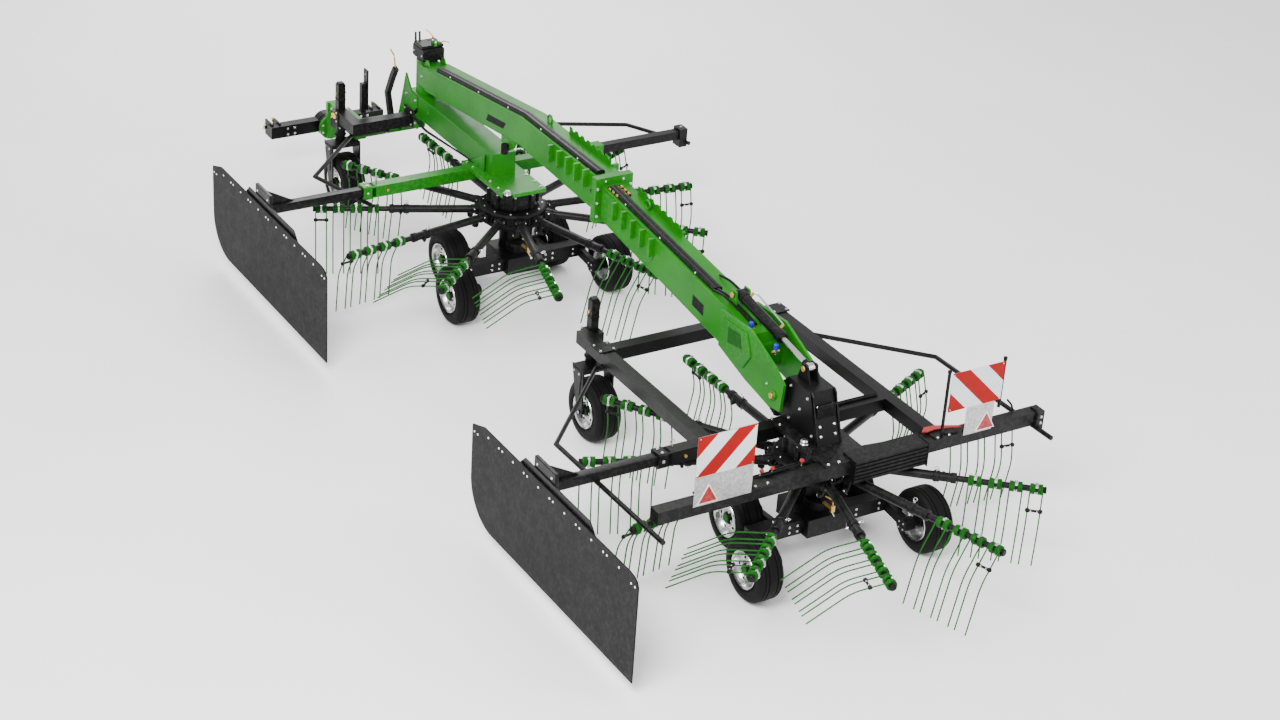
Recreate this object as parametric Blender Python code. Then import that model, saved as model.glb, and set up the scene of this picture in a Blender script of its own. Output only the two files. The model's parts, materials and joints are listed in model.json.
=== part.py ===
"""Twin rotor hay rake: two eleven-armed rotors in line under one carrying beam.

Metres, +Z up. +Y is the direction of travel and +X the right-hand side. Heights are above the
ground, and each rotor's places are measured from that rotor's own axis.
"""
import math

import bmesh
import bpy
from mathutils import Matrix, Vector

# ---------------------------------------------------------------- overall places
ROTOR_SPACING = 4.05          # from the rear rotor's axis forward to the front rotor's
SEAT_GAP = 0.0003             # between faces that rest on each other
PIN_GAP = 0.0005              # round a pin, a rod or a telescopic bar
RUNNING_GAP = 0.010           # between a turning piece and what stands beside it

# ---------------------------------------------------------------- rotor
ARM_COUNT = 11
ARM_Z = 0.625                 # height of the arm axes
ARM_TIP_R = 1.50
ARM_ROOT_R = ARM_TIP_R - 0.57 # where the tine arm leaves its sleeve on the hub
ARM_TUBE_R = 0.021
SLEEVE_R = 0.031
FIRST_ARM_ANGLE = math.radians(-138.0)
HUB_R = 0.26
HUB_TOP = 0.68
HUB_BOTTOM = 0.53
COLUMN_R = 0.095
THRUST_R = 0.130              # collar that the hub runs against

COIL_COUNT = 4                # double coils on each arm
COIL_R = 0.038
COIL_LENGTH = 0.085
COIL_FIRST_R = ARM_TIP_R - 0.063        # outermost coil's middle
COIL_PITCH = 0.130
PRONG_SPREAD = 0.055          # between the two prongs of a double coil
PRONG_R = 0.0045
PRONG_UPPER = 0.25            # coil to knee
PRONG_LOWER = 0.33            # knee to tip
PRONG_UPPER_LEAN = math.radians(20.0)   # trailing
PRONG_LOWER_LEAN = math.radians(-11.0)  # leading

LIFT_START = math.radians(-178.0)       # arms between these angles are lifted by the cam
LIFT_END = math.radians(-60.0)
LIFT_ANGLE = math.radians(66.0)

# ---------------------------------------------------------------- running gear
WHEEL_R = 0.225
WHEEL_W = 0.185
WHEEL_BORE_R = 0.016
AXLE_BAR_Y = -0.14
AXLE_BAR_HALF = 0.05
REAR_WHEEL_X = ARM_TIP_R - 0.845         # inside the ring of tines
FRONT_WHEEL_X = 0.435
WHEEL_ARM_GAP = 0.14
REAR_WHEEL_Y = AXLE_BAR_Y - WHEEL_R - 0.035
FRONT_WHEEL_Y = AXLE_BAR_Y + AXLE_BAR_HALF + WHEEL_R + 0.025
GEAR_HUB_W = 0.10             # steel hub inside the tyre's width
# name, side, wheel middle x, wheel y, side arm x
WHEEL_TABLE = (
    ("wheel_rear_left", -1, REAR_WHEEL_X, REAR_WHEEL_Y, REAR_WHEEL_X - WHEEL_ARM_GAP),
    ("wheel_rear_right", 1, REAR_WHEEL_X, REAR_WHEEL_Y, REAR_WHEEL_X - WHEEL_ARM_GAP),
    ("wheel_front_left", -1, FRONT_WHEEL_X, FRONT_WHEEL_Y, FRONT_WHEEL_X - WHEEL_ARM_GAP),
    ("wheel_front_right", 1, FRONT_WHEEL_X, FRONT_WHEEL_Y, FRONT_WHEEL_X - WHEEL_ARM_GAP),
)
CASTOR_X = -0.58
CASTOR_Y = 1.83
CASTOR_TRAIL = 0.09
CASTOR_WHEEL_R = 0.23
CASTOR_WHEEL_W = 0.20
FORK_TOP = 0.555
FORK_PLATE_T = 0.012
FORK_SIDE_GAP = 0.012
KINGPIN_R = 0.022

# ---------------------------------------------------------------- frame over a rotor
TUBE = 0.09                   # square frame tube
TUBE_WALL = 0.0105
FRAME_Z = 0.77                # middle of the frame tubes
GEARBOX_TOP_R = 0.175
GEARBOX_TOP = 0.80
SIDE_TUBE_LEFT_X = -0.66
SIDE_TUBE_RIGHT_X = 0.73
CROSS_TUBE_Y = 1.54
REAR_BOARD_TUBE_Y = GEARBOX_TOP_R + TUBE / 2
FRONT_BOARD_TUBE_Y = 0.44
REAR_BAR_Y = -0.35
REAR_BAR_LEFT = -1.40
REAR_BAR_RIGHT = 1.56
DECK_T = 0.025                # plate on the gearbox
GUARD_R = 0.017
GUARD_Z = FRAME_Z - TUBE / 2 - GUARD_R - SEAT_GAP
FRONT_TUBE_RIGHT_X = 1.02
CHEEK_OUTER_X = 0.106
# guard bar routes, x and y from the rotor's axis
FRONT_GUARD_LEFT = ((-0.30, CROSS_TUBE_Y), (-0.62, CROSS_TUBE_Y), (-1.20, 0.95), (-1.02, 0.30))
FRONT_GUARD_RIGHT = ((CHEEK_OUTER_X + SEAT_GAP, 1.52), (1.52, 0.88), (1.80, 0.36))
REAR_GUARD_LEFT = ((SIDE_TUBE_LEFT_X, 1.48), (-0.75, 1.48), (-1.47, 0.73), (-1.45, -0.55))
REAR_GUARD_RIGHT = ((SIDE_TUBE_RIGHT_X, 1.40), (0.82, 1.34), (1.47, 0.66), (1.50, -0.56))

# ---------------------------------------------------------------- swath board
SOCKET_END_X = -1.05          # open end of the telescopic socket
SOCKET_DEPTH = 0.68
BOARD_X = -1.88
BOARD_T = 0.012
BOARD_BEHIND = 1.20           # from the board's arm back to its rear edge
BOARD_AHEAD = 0.86            # and forward to its front edge
BOARD_BOTTOM = 0.100
BOARD_TOP = 0.830
BOARD_ARM_END_X = -0.62

# ---------------------------------------------------------------- carrying beam
BEAM_W = 0.20
# place along the beam: y, underside z, top z
BEAM_FRONT_SECTIONS = (
    (ROTOR_SPACING + 1.31, 1.100, 1.295),
    (ROTOR_SPACING - 0.25, 1.275, 1.495),
    (ROTOR_SPACING - 1.405, 1.225, 1.485),
)
BEAM_REAR_SECTIONS = (
    (ROTOR_SPACING - 1.435, 1.205, 1.455),
    (0.62, 0.955, 1.245),
)
COVER_W = 0.07                # hose cover on the beam's top
COVER_H = 0.030
COVER_X = -0.045
COVER_FRONT_Y = (ROTOR_SPACING + 1.15, ROTOR_SPACING - 0.25, ROTOR_SPACING - 1.33)
COVER_REAR_Y = (ROTOR_SPACING - 1.51, 1.15)
SPLICE_T = 0.0295
SPLICE_W = 0.30
SWING_Y = ROTOR_SPACING + 1.47                # upright pin that the beam swings on
SWING_PIN_R = 0.030
SWING_BOSS_R = 0.085
LIFT_PIN_Y = 0.28             # cross pin that the rear rotor tilts on
LIFT_PIN_Z = 0.985
LIFT_PIN_R = 0.020
HEAD_PLATE_X = 0.135
HEAD_PLATE_T = 0.020
HEAD_PLATE_OUTLINE = ((0.95, 1.02), (0.95, 1.28), (0.60, 1.30), (0.30, 1.18), (0.18, 1.10),
                      (0.20, 0.90), (0.33, 0.88), (0.62, 0.93))
ROD_EYE_Y = 0.12
ROD_EYE_Z = 1.235
BARREL_EYE_Y = 0.95
BARREL_EYE_Z = 1.37
RAM_PIN_R = 0.012
BARREL_EAR_X = 0.050
BARREL_R = 0.036
ROD_R = 0.018

# ---------------------------------------------------------------- front carrier and hitch
CARRIER_FRONT_Y = ROTOR_SPACING + 1.57
CARRIER_BOTTOM = 0.8003
CARRIER_TOP = 1.020
CHEEK_LOW = 0.725             # the cheeks clear the rotor arms
HITCH_X = -0.45
STEER_Y = ROTOR_SPACING + 2.00                # kingpin of the hitch yoke
STEER_Z = 0.645
STEER_PIN_R = 0.022
YOKE_EYE_HALF = 0.050
HITCH_Z = 0.45                # axis that the cross bar rolls about
FLANGE_Y = ROTOR_SPACING + 2.28
FLANGE_T = 0.03
CROSSBAR_Y = ROTOR_SPACING + 2.39
CROSSBAR_HALF = 0.50

GREEN = ("paint_green", (0.035, 0.30, 0.035, 1.0), 0.35, 0.0)
BLACK = ("paint_black", (0.018, 0.018, 0.020, 1.0), 0.45, 0.0)
DARK = ("board_black", (0.022, 0.022, 0.024, 1.0), 0.70, 0.0)
RUBBER = ("rubber", (0.012, 0.012, 0.012, 1.0), 0.85, 0.0)
SILVER = ("bright_steel", (0.60, 0.60, 0.60, 1.0), 0.30, 1.0)
WARNING = ("warning_red_white", (0.80, 0.05, 0.04, 1.0), 0.40, 0.0)


# ================================================================ scene helpers
def clear_scene():
    for item in list(bpy.data.objects):
        bpy.data.objects.remove(item, do_unlink=True)


def material(spec):
    name, colour, roughness, metallic = spec
    made = bpy.data.materials.get(name)
    if made:
        return made
    made = bpy.data.materials.new(name)
    made.use_nodes = True
    made.diffuse_color = colour
    shader = made.node_tree.nodes["Principled BSDF"]
    shader.inputs["Base Color"].default_value = colour
    shader.inputs["Roughness"].default_value = roughness
    shader.inputs["Metallic"].default_value = metallic
    return made


def empty(name, place, parent=None):
    made = bpy.data.objects.new(name, None)
    made.empty_display_size = 0.1
    RAKE.objects.link(made)
    if parent:
        made.parent = parent
        place = Vector(place) - WORLD[parent.name]
    made.location = place
    WORLD[name] = Vector(place) + (WORLD[parent.name] if parent else Vector())
    return made


def mesh_object(name, bm):
    bm.normal_update()
    mesh = bpy.data.meshes.new(name)
    bm.to_mesh(mesh)
    bm.free()
    made = bpy.data.objects.new(name, mesh)
    WORKSHOP.objects.link(made)
    return made


def box(size, place, turn=None):
    """A block of the given size with its middle at place."""
    bm = bmesh.new()
    bmesh.ops.create_cube(bm, size=1.0)
    bmesh.ops.scale(bm, vec=size, verts=bm.verts)
    if turn:
        bmesh.ops.transform(bm, matrix=turn.to_4x4(), verts=bm.verts)
    bmesh.ops.translate(bm, vec=place, verts=bm.verts)
    return mesh_object("block", bm)


def bar(start, end, width, height):
    """A square bar between two points."""
    start = Vector(start)
    end = Vector(end)
    along = end - start
    turn = along.to_track_quat("Y", "Z").to_matrix()
    return box((width, along.length, height), (start + end) / 2, turn)


def rod(start, end, radius, sides=16, end_radius=None):
    """A round bar between two points."""
    start = Vector(start)
    end = Vector(end)
    along = end - start
    bm = bmesh.new()
    bmesh.ops.create_cone(
        bm, cap_ends=True, segments=sides, radius1=radius,
        radius2=radius if end_radius is None else end_radius, depth=along.length)
    turn = along.to_track_quat("Z", "Y").to_matrix().to_4x4()
    bmesh.ops.transform(bm, matrix=Matrix.Translation((start + end) / 2) @ turn, verts=bm.verts)
    return mesh_object("rod", bm)


def from_curve(curve_object):
    """The closed mesh of a curve object, which is removed."""
    bpy.context.view_layer.update()
    graph = bpy.context.evaluated_depsgraph_get()
    mesh = bpy.data.meshes.new_from_object(curve_object.evaluated_get(graph))
    bm = bmesh.new()
    bm.from_mesh(mesh)
    bmesh.ops.remove_doubles(bm, verts=bm.verts, dist=0.00001)
    bmesh.ops.transform(bm, matrix=curve_object.matrix_world, verts=bm.verts)
    bmesh.ops.recalc_face_normals(bm, faces=bm.faces)
    bpy.data.objects.remove(curve_object, do_unlink=True)
    return mesh_object("swept", bm)


def wire(points, radius, resolution=2):
    """A round wire or tube through points, mitred at its corners."""
    curve = bpy.data.curves.new("wire", "CURVE")
    curve.dimensions = "3D"
    curve.bevel_depth = radius
    curve.bevel_resolution = resolution
    curve.use_fill_caps = True
    spline = curve.splines.new("POLY")
    spline.points.add(len(points) - 1)
    for point, place in zip(spline.points, points):
        point.co = (*place, 1.0)
    made = bpy.data.objects.new("wire", curve)
    WORKSHOP.objects.link(made)
    return from_curve(made)


def plate(outline, thickness, middle, turn):
    """A flat plate: a closed 2D outline, half its thickness each way, turned and moved."""
    curve = bpy.data.curves.new("plate", "CURVE")
    curve.dimensions = "2D"
    curve.fill_mode = "BOTH"
    curve.extrude = thickness / 2
    spline = curve.splines.new("POLY")
    spline.points.add(len(outline) - 1)
    for point, (x, y) in zip(spline.points, outline):
        point.co = (x, y, 0.0, 1.0)
    spline.use_cyclic_u = True
    made = bpy.data.objects.new("plate", curve)
    WORKSHOP.objects.link(made)
    made.matrix_world = Matrix.Translation(middle) @ turn.to_4x4()
    return from_curve(made)


# Turns a flat outline's x, y into the machine's y, z, with its thickness along x.
UPRIGHT_ALONG = Matrix(((0, 0, 1), (1, 0, 0), (0, 1, 0)))
# Turns a flat outline's x, y into the machine's x, z, with its thickness along y.
UPRIGHT_ACROSS = Matrix(((1, 0, 0), (0, 0, -1), (0, 1, 0)))


def side_plate(outline, thickness, x):
    return plate(outline, thickness, (x, 0.0, 0.0), UPRIGHT_ALONG)


def turned(profile, steps, middle, axis):
    """A profile of (radius, along) points turned about an axis: a ring, or a disc if its ends
    lie on the axis."""
    bm = bmesh.new()
    verts = [bm.verts.new((radius, 0.0, along)) for radius, along in profile]
    edges = [bm.edges.new(pair) for pair in zip(verts, verts[1:])]
    if profile[0][0] > 0.0:
        edges.append(bm.edges.new((verts[-1], verts[0])))
    bmesh.ops.spin(bm, geom=verts + edges, cent=(0, 0, 0), axis=(0, 0, 1),
                   angle=math.tau, steps=steps, use_merge=True)
    bmesh.ops.remove_doubles(bm, verts=bm.verts, dist=0.00001)
    bmesh.ops.recalc_face_normals(bm, faces=bm.faces)
    turn = Vector(axis).to_track_quat("Z", "Y").to_matrix().to_4x4()
    bmesh.ops.transform(bm, matrix=Matrix.Translation(middle) @ turn, verts=bm.verts)
    return mesh_object("turned", bm)


def combine(base, others, operation):
    """The base with each of the others added to it or cut from it."""
    for other in others:
        step = base.modifiers.new("step", "BOOLEAN")
        step.operation = operation
        step.solver = "EXACT"
        step.object = other
        bpy.context.view_layer.update()
        graph = bpy.context.evaluated_depsgraph_get()
        mesh = bpy.data.meshes.new_from_object(base.evaluated_get(graph))
        base.modifiers.clear()
        base.data = mesh
        bpy.data.objects.remove(other, do_unlink=True)
    return base


def join(*parts):
    return combine(parts[0], parts[1:], "UNION")


def cut(base, *tools):
    return combine(base, tools, "DIFFERENCE")


def piece(name, parent, body, spec, smooth_angle=None):
    """Names a finished solid, moves its origin to its parent's place and files it."""
    place = WORLD[parent.name]
    body.data.transform(Matrix.Translation(-place))
    body.name = name
    body.data.name = name
    body.parent = parent
    body.data.materials.clear()
    body.data.materials.append(material(spec))
    for face in body.data.polygons:
        face.material_index = 0
    if smooth_angle:
        body.data.shade_smooth()
        body.data.set_sharp_from_angle(angle=smooth_angle)
    WORKSHOP.objects.unlink(body)
    RAKE.objects.link(body)
    return body


ROUND = math.radians(35.0)


# ================================================================ rotor
def tine_arm_mesh():
    """One arm along +X from the rotor's middle: tube, coils and prongs that hang and trail."""
    tube = rod((ARM_ROOT_R + SEAT_GAP, 0, 0), (ARM_TIP_R, 0, 0), ARM_TUBE_R, 6)
    parts = []
    for coil in range(COIL_COUNT):
        middle = COIL_FIRST_R - coil * COIL_PITCH
        half = COIL_LENGTH / 2
        parts.append(rod((middle - half, 0, 0), (middle + half, 0, 0), COIL_R, 8))
        for side in (-1, 1):
            x = middle + side * PRONG_SPREAD / 2
            start = Vector((x, 0.0, 0.0))
            knee = start + PRONG_UPPER * Vector(
                (0.0, -math.sin(PRONG_UPPER_LEAN), -math.cos(PRONG_UPPER_LEAN)))
            tip = knee + PRONG_LOWER * Vector(
                (0.0, -math.sin(PRONG_LOWER_LEAN), -math.cos(PRONG_LOWER_LEAN)))
            start = start.lerp(knee, 0.09)
            parts.append(wire((start, knee, tip), PRONG_R, 0))
    return join(tube, *parts)


def lift_of(angle):
    """How far the cam turns an arm that stands at this angle, trailing."""
    share = (angle - LIFT_START) / (LIFT_END - LIFT_START)
    if share <= 0.0 or share >= 1.0:
        return 0.0
    return LIFT_ANGLE * min(1.0, 4.0 * share, 4.0 * (1.0 - share))


def rotor(unit, frame, middle):
    spin = empty(f"{unit}_rotor_axis", middle, frame)
    x, y, z = middle
    parts = []
    for arm in range(ARM_COUNT):
        angle = FIRST_ARM_ANGLE + math.tau * arm / ARM_COUNT
        along = Vector((math.cos(angle), math.sin(angle), 0.0))
        start = Vector(middle) + along * (HUB_R - 0.05)
        end = Vector(middle) + along * ARM_ROOT_R
        parts.append(rod(start, end, SLEEVE_R, 6))
    profile = ((COLUMN_R + RUNNING_GAP, HUB_BOTTOM - z), (HUB_R - 0.05, HUB_BOTTOM - z),
               (HUB_R, HUB_BOTTOM - z + 0.04), (HUB_R, HUB_TOP - z - 0.02),
               (HUB_R - 0.03, HUB_TOP - z), (COLUMN_R + RUNNING_GAP, HUB_TOP - z))
    hub = turned(profile, 22, middle, (0, 0, 1))
    piece(f"{unit}_rotor_hub", spin, join(hub, *parts), BLACK, ROUND)
    for arm in range(ARM_COUNT):
        angle = FIRST_ARM_ANGLE + math.tau * arm / ARM_COUNT
        wrapped = (angle + math.pi) % math.tau - math.pi
        made = bpy.data.objects.new(f"{unit}_tine_arm_{arm + 1:02d}", TINE_MESH)
        made.parent = spin
        made.rotation_euler = (-lift_of(wrapped), 0.0, angle)
        RAKE.objects.link(made)


# ================================================================ wheels
def wheel_body(radius, width, bore, middle):
    """A tyre with its rim and hub as one turned solid, its axle along X."""
    half = width / 2
    hub = GEAR_HUB_W / 2
    profile = (
        (bore, -hub), (0.045, -hub), (0.105, -0.020), (0.125, -half), (radius - 0.045, -half),
        (radius, -half * 0.55), (radius, half * 0.55), (radius - 0.045, half), (0.125, half),
        (0.105, 0.020), (0.045, hub), (bore, hub))
    return turned(profile, 18, middle, (1, 0, 0))


def running_gear(unit, frame, y0):
    """The gearbox column through the rotor, and the bogie below it with its stub axles."""
    column = turned(((0.0, 0.20), (COLUMN_R, 0.20), (COLUMN_R, HUB_TOP + PIN_GAP),
                     (THRUST_R, HUB_TOP + PIN_GAP), (THRUST_R, HUB_TOP + RUNNING_GAP),
                     (GEARBOX_TOP_R, HUB_TOP + RUNNING_GAP), (GEARBOX_TOP_R, GEARBOX_TOP),
                     (0.0, GEARBOX_TOP)), 16, (0, y0, 0), (0, 0, 1))
    parts = [box((0.30, 0.36, 0.13), (0, y0 - 0.06, 0.265)),
             box((2 * (REAR_WHEEL_X - WHEEL_ARM_GAP) + AXLE_BAR_HALF, 2 * AXLE_BAR_HALF, 0.10),
                 (0, y0 + AXLE_BAR_Y, 0.265))]
    for _, side, wheel_x, wheel_y, arm_x in WHEEL_TABLE:
        parts.append(bar((side * arm_x, y0 + AXLE_BAR_Y, 0.25), (side * arm_x, y0 + wheel_y, WHEEL_R),
                         0.040, 0.07))
        parts.append(rod((side * arm_x, y0 + wheel_y, WHEEL_R),
                         (side * (wheel_x + GEAR_HUB_W / 2 + 0.012), y0 + wheel_y, WHEEL_R),
                         WHEEL_BORE_R - PIN_GAP, 12))
        parts.append(rod((side * arm_x, y0 + wheel_y, WHEEL_R),
                         (side * (wheel_x - GEAR_HUB_W / 2 - 0.001), y0 + wheel_y, WHEEL_R),
                         0.030, 12))
    piece(f"{unit}_running_gear", frame, join(column, *parts), BLACK, ROUND)
    for name, side, wheel_x, wheel_y, _ in WHEEL_TABLE:
        middle = (side * wheel_x, y0 + wheel_y, WHEEL_R)
        axis = empty(f"{unit}_{name}_axis", middle, frame)
        piece(f"{unit}_{name}", axis, wheel_body(WHEEL_R, WHEEL_W, WHEEL_BORE_R, middle), RUBBER, ROUND)


def castor_bracket(y0):
    """The block that holds the castor's kingpin, and the square post over it."""
    place = (CASTOR_X, y0 + CASTOR_Y, FRAME_Z)
    block = box((0.11, 0.13, 0.14), (place[0], place[1], FRAME_Z - 0.045))
    post = box((0.06, 0.06, 0.26), (place[0], place[1], FRAME_Z + 0.13))
    return block, post


def castor_bore(y0):
    return rod((CASTOR_X, y0 + CASTOR_Y, FRAME_Z - 0.20), (CASTOR_X, y0 + CASTOR_Y, FRAME_Z + 0.002),
               KINGPIN_R + PIN_GAP, 16)


def castor(unit, frame, y0):
    """A fork that swivels on its kingpin, and the wheel in it."""
    steer = empty(f"{unit}_castor_axis", (CASTOR_X, y0 + CASTOR_Y, FORK_TOP), frame)
    axle_y = y0 + CASTOR_Y - CASTOR_TRAIL
    reach = CASTOR_WHEEL_W / 2 + FORK_SIDE_GAP
    top = box((2 * reach + FORK_PLATE_T, 0.14, 0.03), (CASTOR_X, y0 + CASTOR_Y - 0.04, FORK_TOP - 0.018))
    pin = rod((CASTOR_X, y0 + CASTOR_Y, FORK_TOP - 0.01), (CASTOR_X, y0 + CASTOR_Y, FRAME_Z - 0.005),
              KINGPIN_R, 16)
    collar = rod((CASTOR_X, y0 + CASTOR_Y, FORK_TOP - 0.01),
                 (CASTOR_X, y0 + CASTOR_Y, FRAME_Z - 0.115 - 0.001), 0.040, 16)
    parts = [pin, collar]
    for side in (-1, 1):
        x = CASTOR_X + side * (reach + FORK_PLATE_T / 2)
        outline = ((y0 + CASTOR_Y - 0.115, FORK_TOP), (y0 + CASTOR_Y + 0.035, FORK_TOP),
                   (axle_y + 0.035, CASTOR_WHEEL_R - 0.03), (axle_y - 0.035, CASTOR_WHEEL_R - 0.03))
        parts.append(side_plate(outline, FORK_PLATE_T, x))
        parts.append(rod((CASTOR_X + side * (GEAR_HUB_W / 2 + 0.001), axle_y, CASTOR_WHEEL_R),
                         (x, axle_y, CASTOR_WHEEL_R), 0.028, 12))
    parts.append(rod((CASTOR_X - reach - FORK_PLATE_T - 0.006, axle_y, CASTOR_WHEEL_R),
                     (CASTOR_X + reach + FORK_PLATE_T + 0.006, axle_y, CASTOR_WHEEL_R),
                     WHEEL_BORE_R - PIN_GAP, 12))
    piece(f"{unit}_castor_fork", steer, join(top, *parts), BLACK, ROUND)
    middle = (CASTOR_X, axle_y, CASTOR_WHEEL_R)
    axis = empty(f"{unit}_castor_wheel_axis", middle, steer)
    piece(f"{unit}_castor_wheel", axis,
          wheel_body(CASTOR_WHEEL_R, CASTOR_WHEEL_W, WHEEL_BORE_R, middle), RUBBER, ROUND)


# ================================================================ swath board
def board_socket(y, right_end):
    """The square tube across the rotor whose left end the board's arm slides in."""
    outer = box((right_end - SOCKET_END_X, TUBE, TUBE), ((right_end + SOCKET_END_X) / 2, y, FRAME_Z))
    inner = TUBE - 2 * TUBE_WALL
    hollow = box((SOCKET_DEPTH + 0.05, inner, inner),
                 (SOCKET_END_X + (SOCKET_DEPTH - 0.05) / 2, y, FRAME_Z))
    return outer, hollow


def swath_board(unit, frame, middle_y):
    """The board, its backing plates and the arm that slides in the socket tube."""
    slide = empty(f"{unit}_swath_board_slide", (BOARD_X, middle_y, FRAME_Z), frame)
    rear = middle_y - BOARD_BEHIND
    front = middle_y + BOARD_AHEAD
    radius = 0.30
    corner = [(front - radius + radius * math.sin(math.radians(a)),
               BOARD_BOTTOM + radius - radius * math.cos(math.radians(a))) for a in range(0, 91, 15)]
    outline = [(rear, BOARD_BOTTOM)] + corner + [
        (front, BOARD_TOP - 0.055), (front - 0.16, BOARD_TOP),
        (rear + 0.10, BOARD_TOP), (rear + 0.03, BOARD_TOP - 0.015), (rear, BOARD_TOP - 0.05)]
    sheet = side_plate(outline, BOARD_T, BOARD_X)
    back = BOARD_X + BOARD_T / 2
    backing = side_plate(((middle_y - 0.68, BOARD_TOP - 0.16), (middle_y + 0.28, BOARD_TOP - 0.16),
                          (middle_y + 0.20, BOARD_TOP + 0.05), (middle_y - 0.60, BOARD_TOP + 0.05)),
                         0.012, back + 0.005)
    bracket = box((0.030, 0.26, 0.33), (back + 0.024, middle_y - 0.03, BOARD_TOP - 0.045))
    inner = TUBE - 2 * TUBE_WALL - 2 * PIN_GAP
    arm = box((BOARD_ARM_END_X - back, inner, inner),
              ((BOARD_ARM_END_X + back) / 2, middle_y, FRAME_Z))
    gusset = plate(((back + 0.005, FRAME_Z + 0.17), (back + 0.005, FRAME_Z + 0.02),
                    (back + 0.27, FRAME_Z + 0.02)), 0.012, (0, middle_y, 0), UPRIGHT_ACROSS)
    piece(f"{unit}_swath_board", slide, join(sheet, backing, bracket, arm, gusset), DARK)


# ================================================================ front unit
def front_unit(root):
    y0 = ROTOR_SPACING
    frame = empty("front_unit_frame", (0, y0, 0), root)
    rotor("front", frame, (0, y0, ARM_Z))
    running_gear("front", frame, y0)
    castor("front", frame, y0)
    # The green carrier: box, foot on the gearbox, cheeks at its front and the drawbar arm.
    body = box((0.20, CARRIER_FRONT_Y - y0 - 0.16, CARRIER_TOP - CARRIER_BOTTOM - 0.03),
               (0, (CARRIER_FRONT_Y + y0 + 0.16) / 2, (CARRIER_TOP + CARRIER_BOTTOM + 0.03) / 2))
    foot_z = FRAME_Z + TUBE / 2 + SEAT_GAP
    foot_front = FRONT_BOARD_TUBE_Y + TUBE / 2 + 0.02
    foot = box((0.36, foot_front + 0.19, 0.030), (0, y0 + (foot_front - 0.19) / 2, foot_z + 0.015))
    foot_low = box((0.30, 0.30, 0.03), (0, y0, CARRIER_BOTTOM + 0.015))
    parts = [foot, foot_low]
    for side in (-1, 1):
        parts.append(side_plate(((CARRIER_FRONT_Y - 0.15, CHEEK_LOW), (CARRIER_FRONT_Y + 0.09, CHEEK_LOW),
                                 (CARRIER_FRONT_Y + 0.12, 0.60), (CARRIER_FRONT_Y + 0.20, 0.60),
                                 (CARRIER_FRONT_Y + 0.20, 0.68), (CARRIER_FRONT_Y + 0.14, 0.86),
                                 (CARRIER_FRONT_Y + 0.06, 1.13),
                                 (CARRIER_FRONT_Y - 0.05, 1.00), (CARRIER_FRONT_Y - 0.15, 1.00)),
                                0.014, side * 0.099))
    parts.append(box((0.20, 0.02, 0.23), (0, CARRIER_FRONT_Y + 0.02, CHEEK_LOW + 0.115)))
    arm_right = CHEEK_OUTER_X
    arm_left = HITCH_X - 0.045
    arm_y = CARRIER_FRONT_Y + 0.20
    lug_t = 0.020
    parts.append(box((arm_right - arm_left - 0.005, 0.10, 2 * YOKE_EYE_HALF + lug_t),
                     ((arm_right + arm_left) / 2 - 0.0025, arm_y, STEER_Z)))
    for side in (-1, 1):
        lug_z = STEER_Z + side * (YOKE_EYE_HALF + SEAT_GAP + lug_t / 2)
        parts.append(box((0.09, STEER_Y + 0.05 - arm_y + 0.05, lug_t),
                         (HITCH_X, (STEER_Y + 0.05 + arm_y - 0.05) / 2, lug_z)))
    reach = YOKE_EYE_HALF + lug_t + 0.004
    parts.append(rod((HITCH_X, STEER_Y, STEER_Z - reach), (HITCH_X, STEER_Y, STEER_Z + reach),
                     STEER_PIN_R, 16))
    parts.append(rod((0, SWING_Y, CARRIER_TOP - 0.01), (0, SWING_Y, CARRIER_TOP + 0.045), SWING_BOSS_R, 20))
    parts.append(rod((0, SWING_Y, CARRIER_TOP), (0, SWING_Y, 1.31), SWING_PIN_R, 20))
    piece("front_carrier", frame, join(body, *parts), GREEN, ROUND)
    # Lateral tube of the board, hung under the carrier's foot.
    board_y = y0 + FRONT_BOARD_TUBE_Y
    outer, hollow = board_socket(board_y, FRONT_TUBE_RIGHT_X)
    piece("front_board_tube", frame, cut(outer, hollow), GREEN)
    # Cross tube to the castor, bolted to the carrier's cheek.
    y = y0 + CROSS_TUBE_Y
    cheek = -CHEEK_OUTER_X - SEAT_GAP
    block, post = castor_bracket(y0)
    tube = box((cheek - CASTOR_X + TUBE / 2, TUBE, TUBE), ((CASTOR_X - TUBE / 2 + cheek) / 2, y, FRAME_Z))
    stem = box((TUBE, CASTOR_Y - CROSS_TUBE_Y, TUBE), (CASTOR_X, y0 + (CASTOR_Y + CROSS_TUBE_Y) / 2, FRAME_Z))
    piece("front_castor_tube", frame, cut(join(tube, stem, block, post), castor_bore(y0)), BLACK)
    swath_board("front", frame, board_y)
    # Guard bars round the rotor; the right one is clamped to a bar in line with the board tube.
    left = wire([(x, y0 + y, GUARD_Z) for x, y in FRONT_GUARD_LEFT], GUARD_R, 2)
    piece("front_guard_left", frame, left, BLACK, ROUND)
    right = wire([(x, y0 + y, GUARD_Z) for x, y in FRONT_GUARD_RIGHT], GUARD_R, 2)
    (x1, y1), (x2, y2) = FRONT_GUARD_RIGHT[-2:]
    clamp_x = x1 + (x2 - x1) * (FRONT_BOARD_TUBE_Y - y1) / (y2 - y1)
    start_x = FRONT_TUBE_RIGHT_X + SEAT_GAP
    inner = TUBE - 2 * TUBE_WALL
    holder = box((clamp_x - start_x, inner, inner), ((clamp_x + start_x) / 2, board_y, FRAME_Z))
    clamp = box((0.07, 0.10, FRAME_Z - GUARD_Z + 0.09), (clamp_x, board_y, (FRAME_Z + GUARD_Z) / 2 + 0.01))
    piece("front_guard_right", frame, join(right, holder, clamp), BLACK, ROUND)
    return frame


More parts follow.
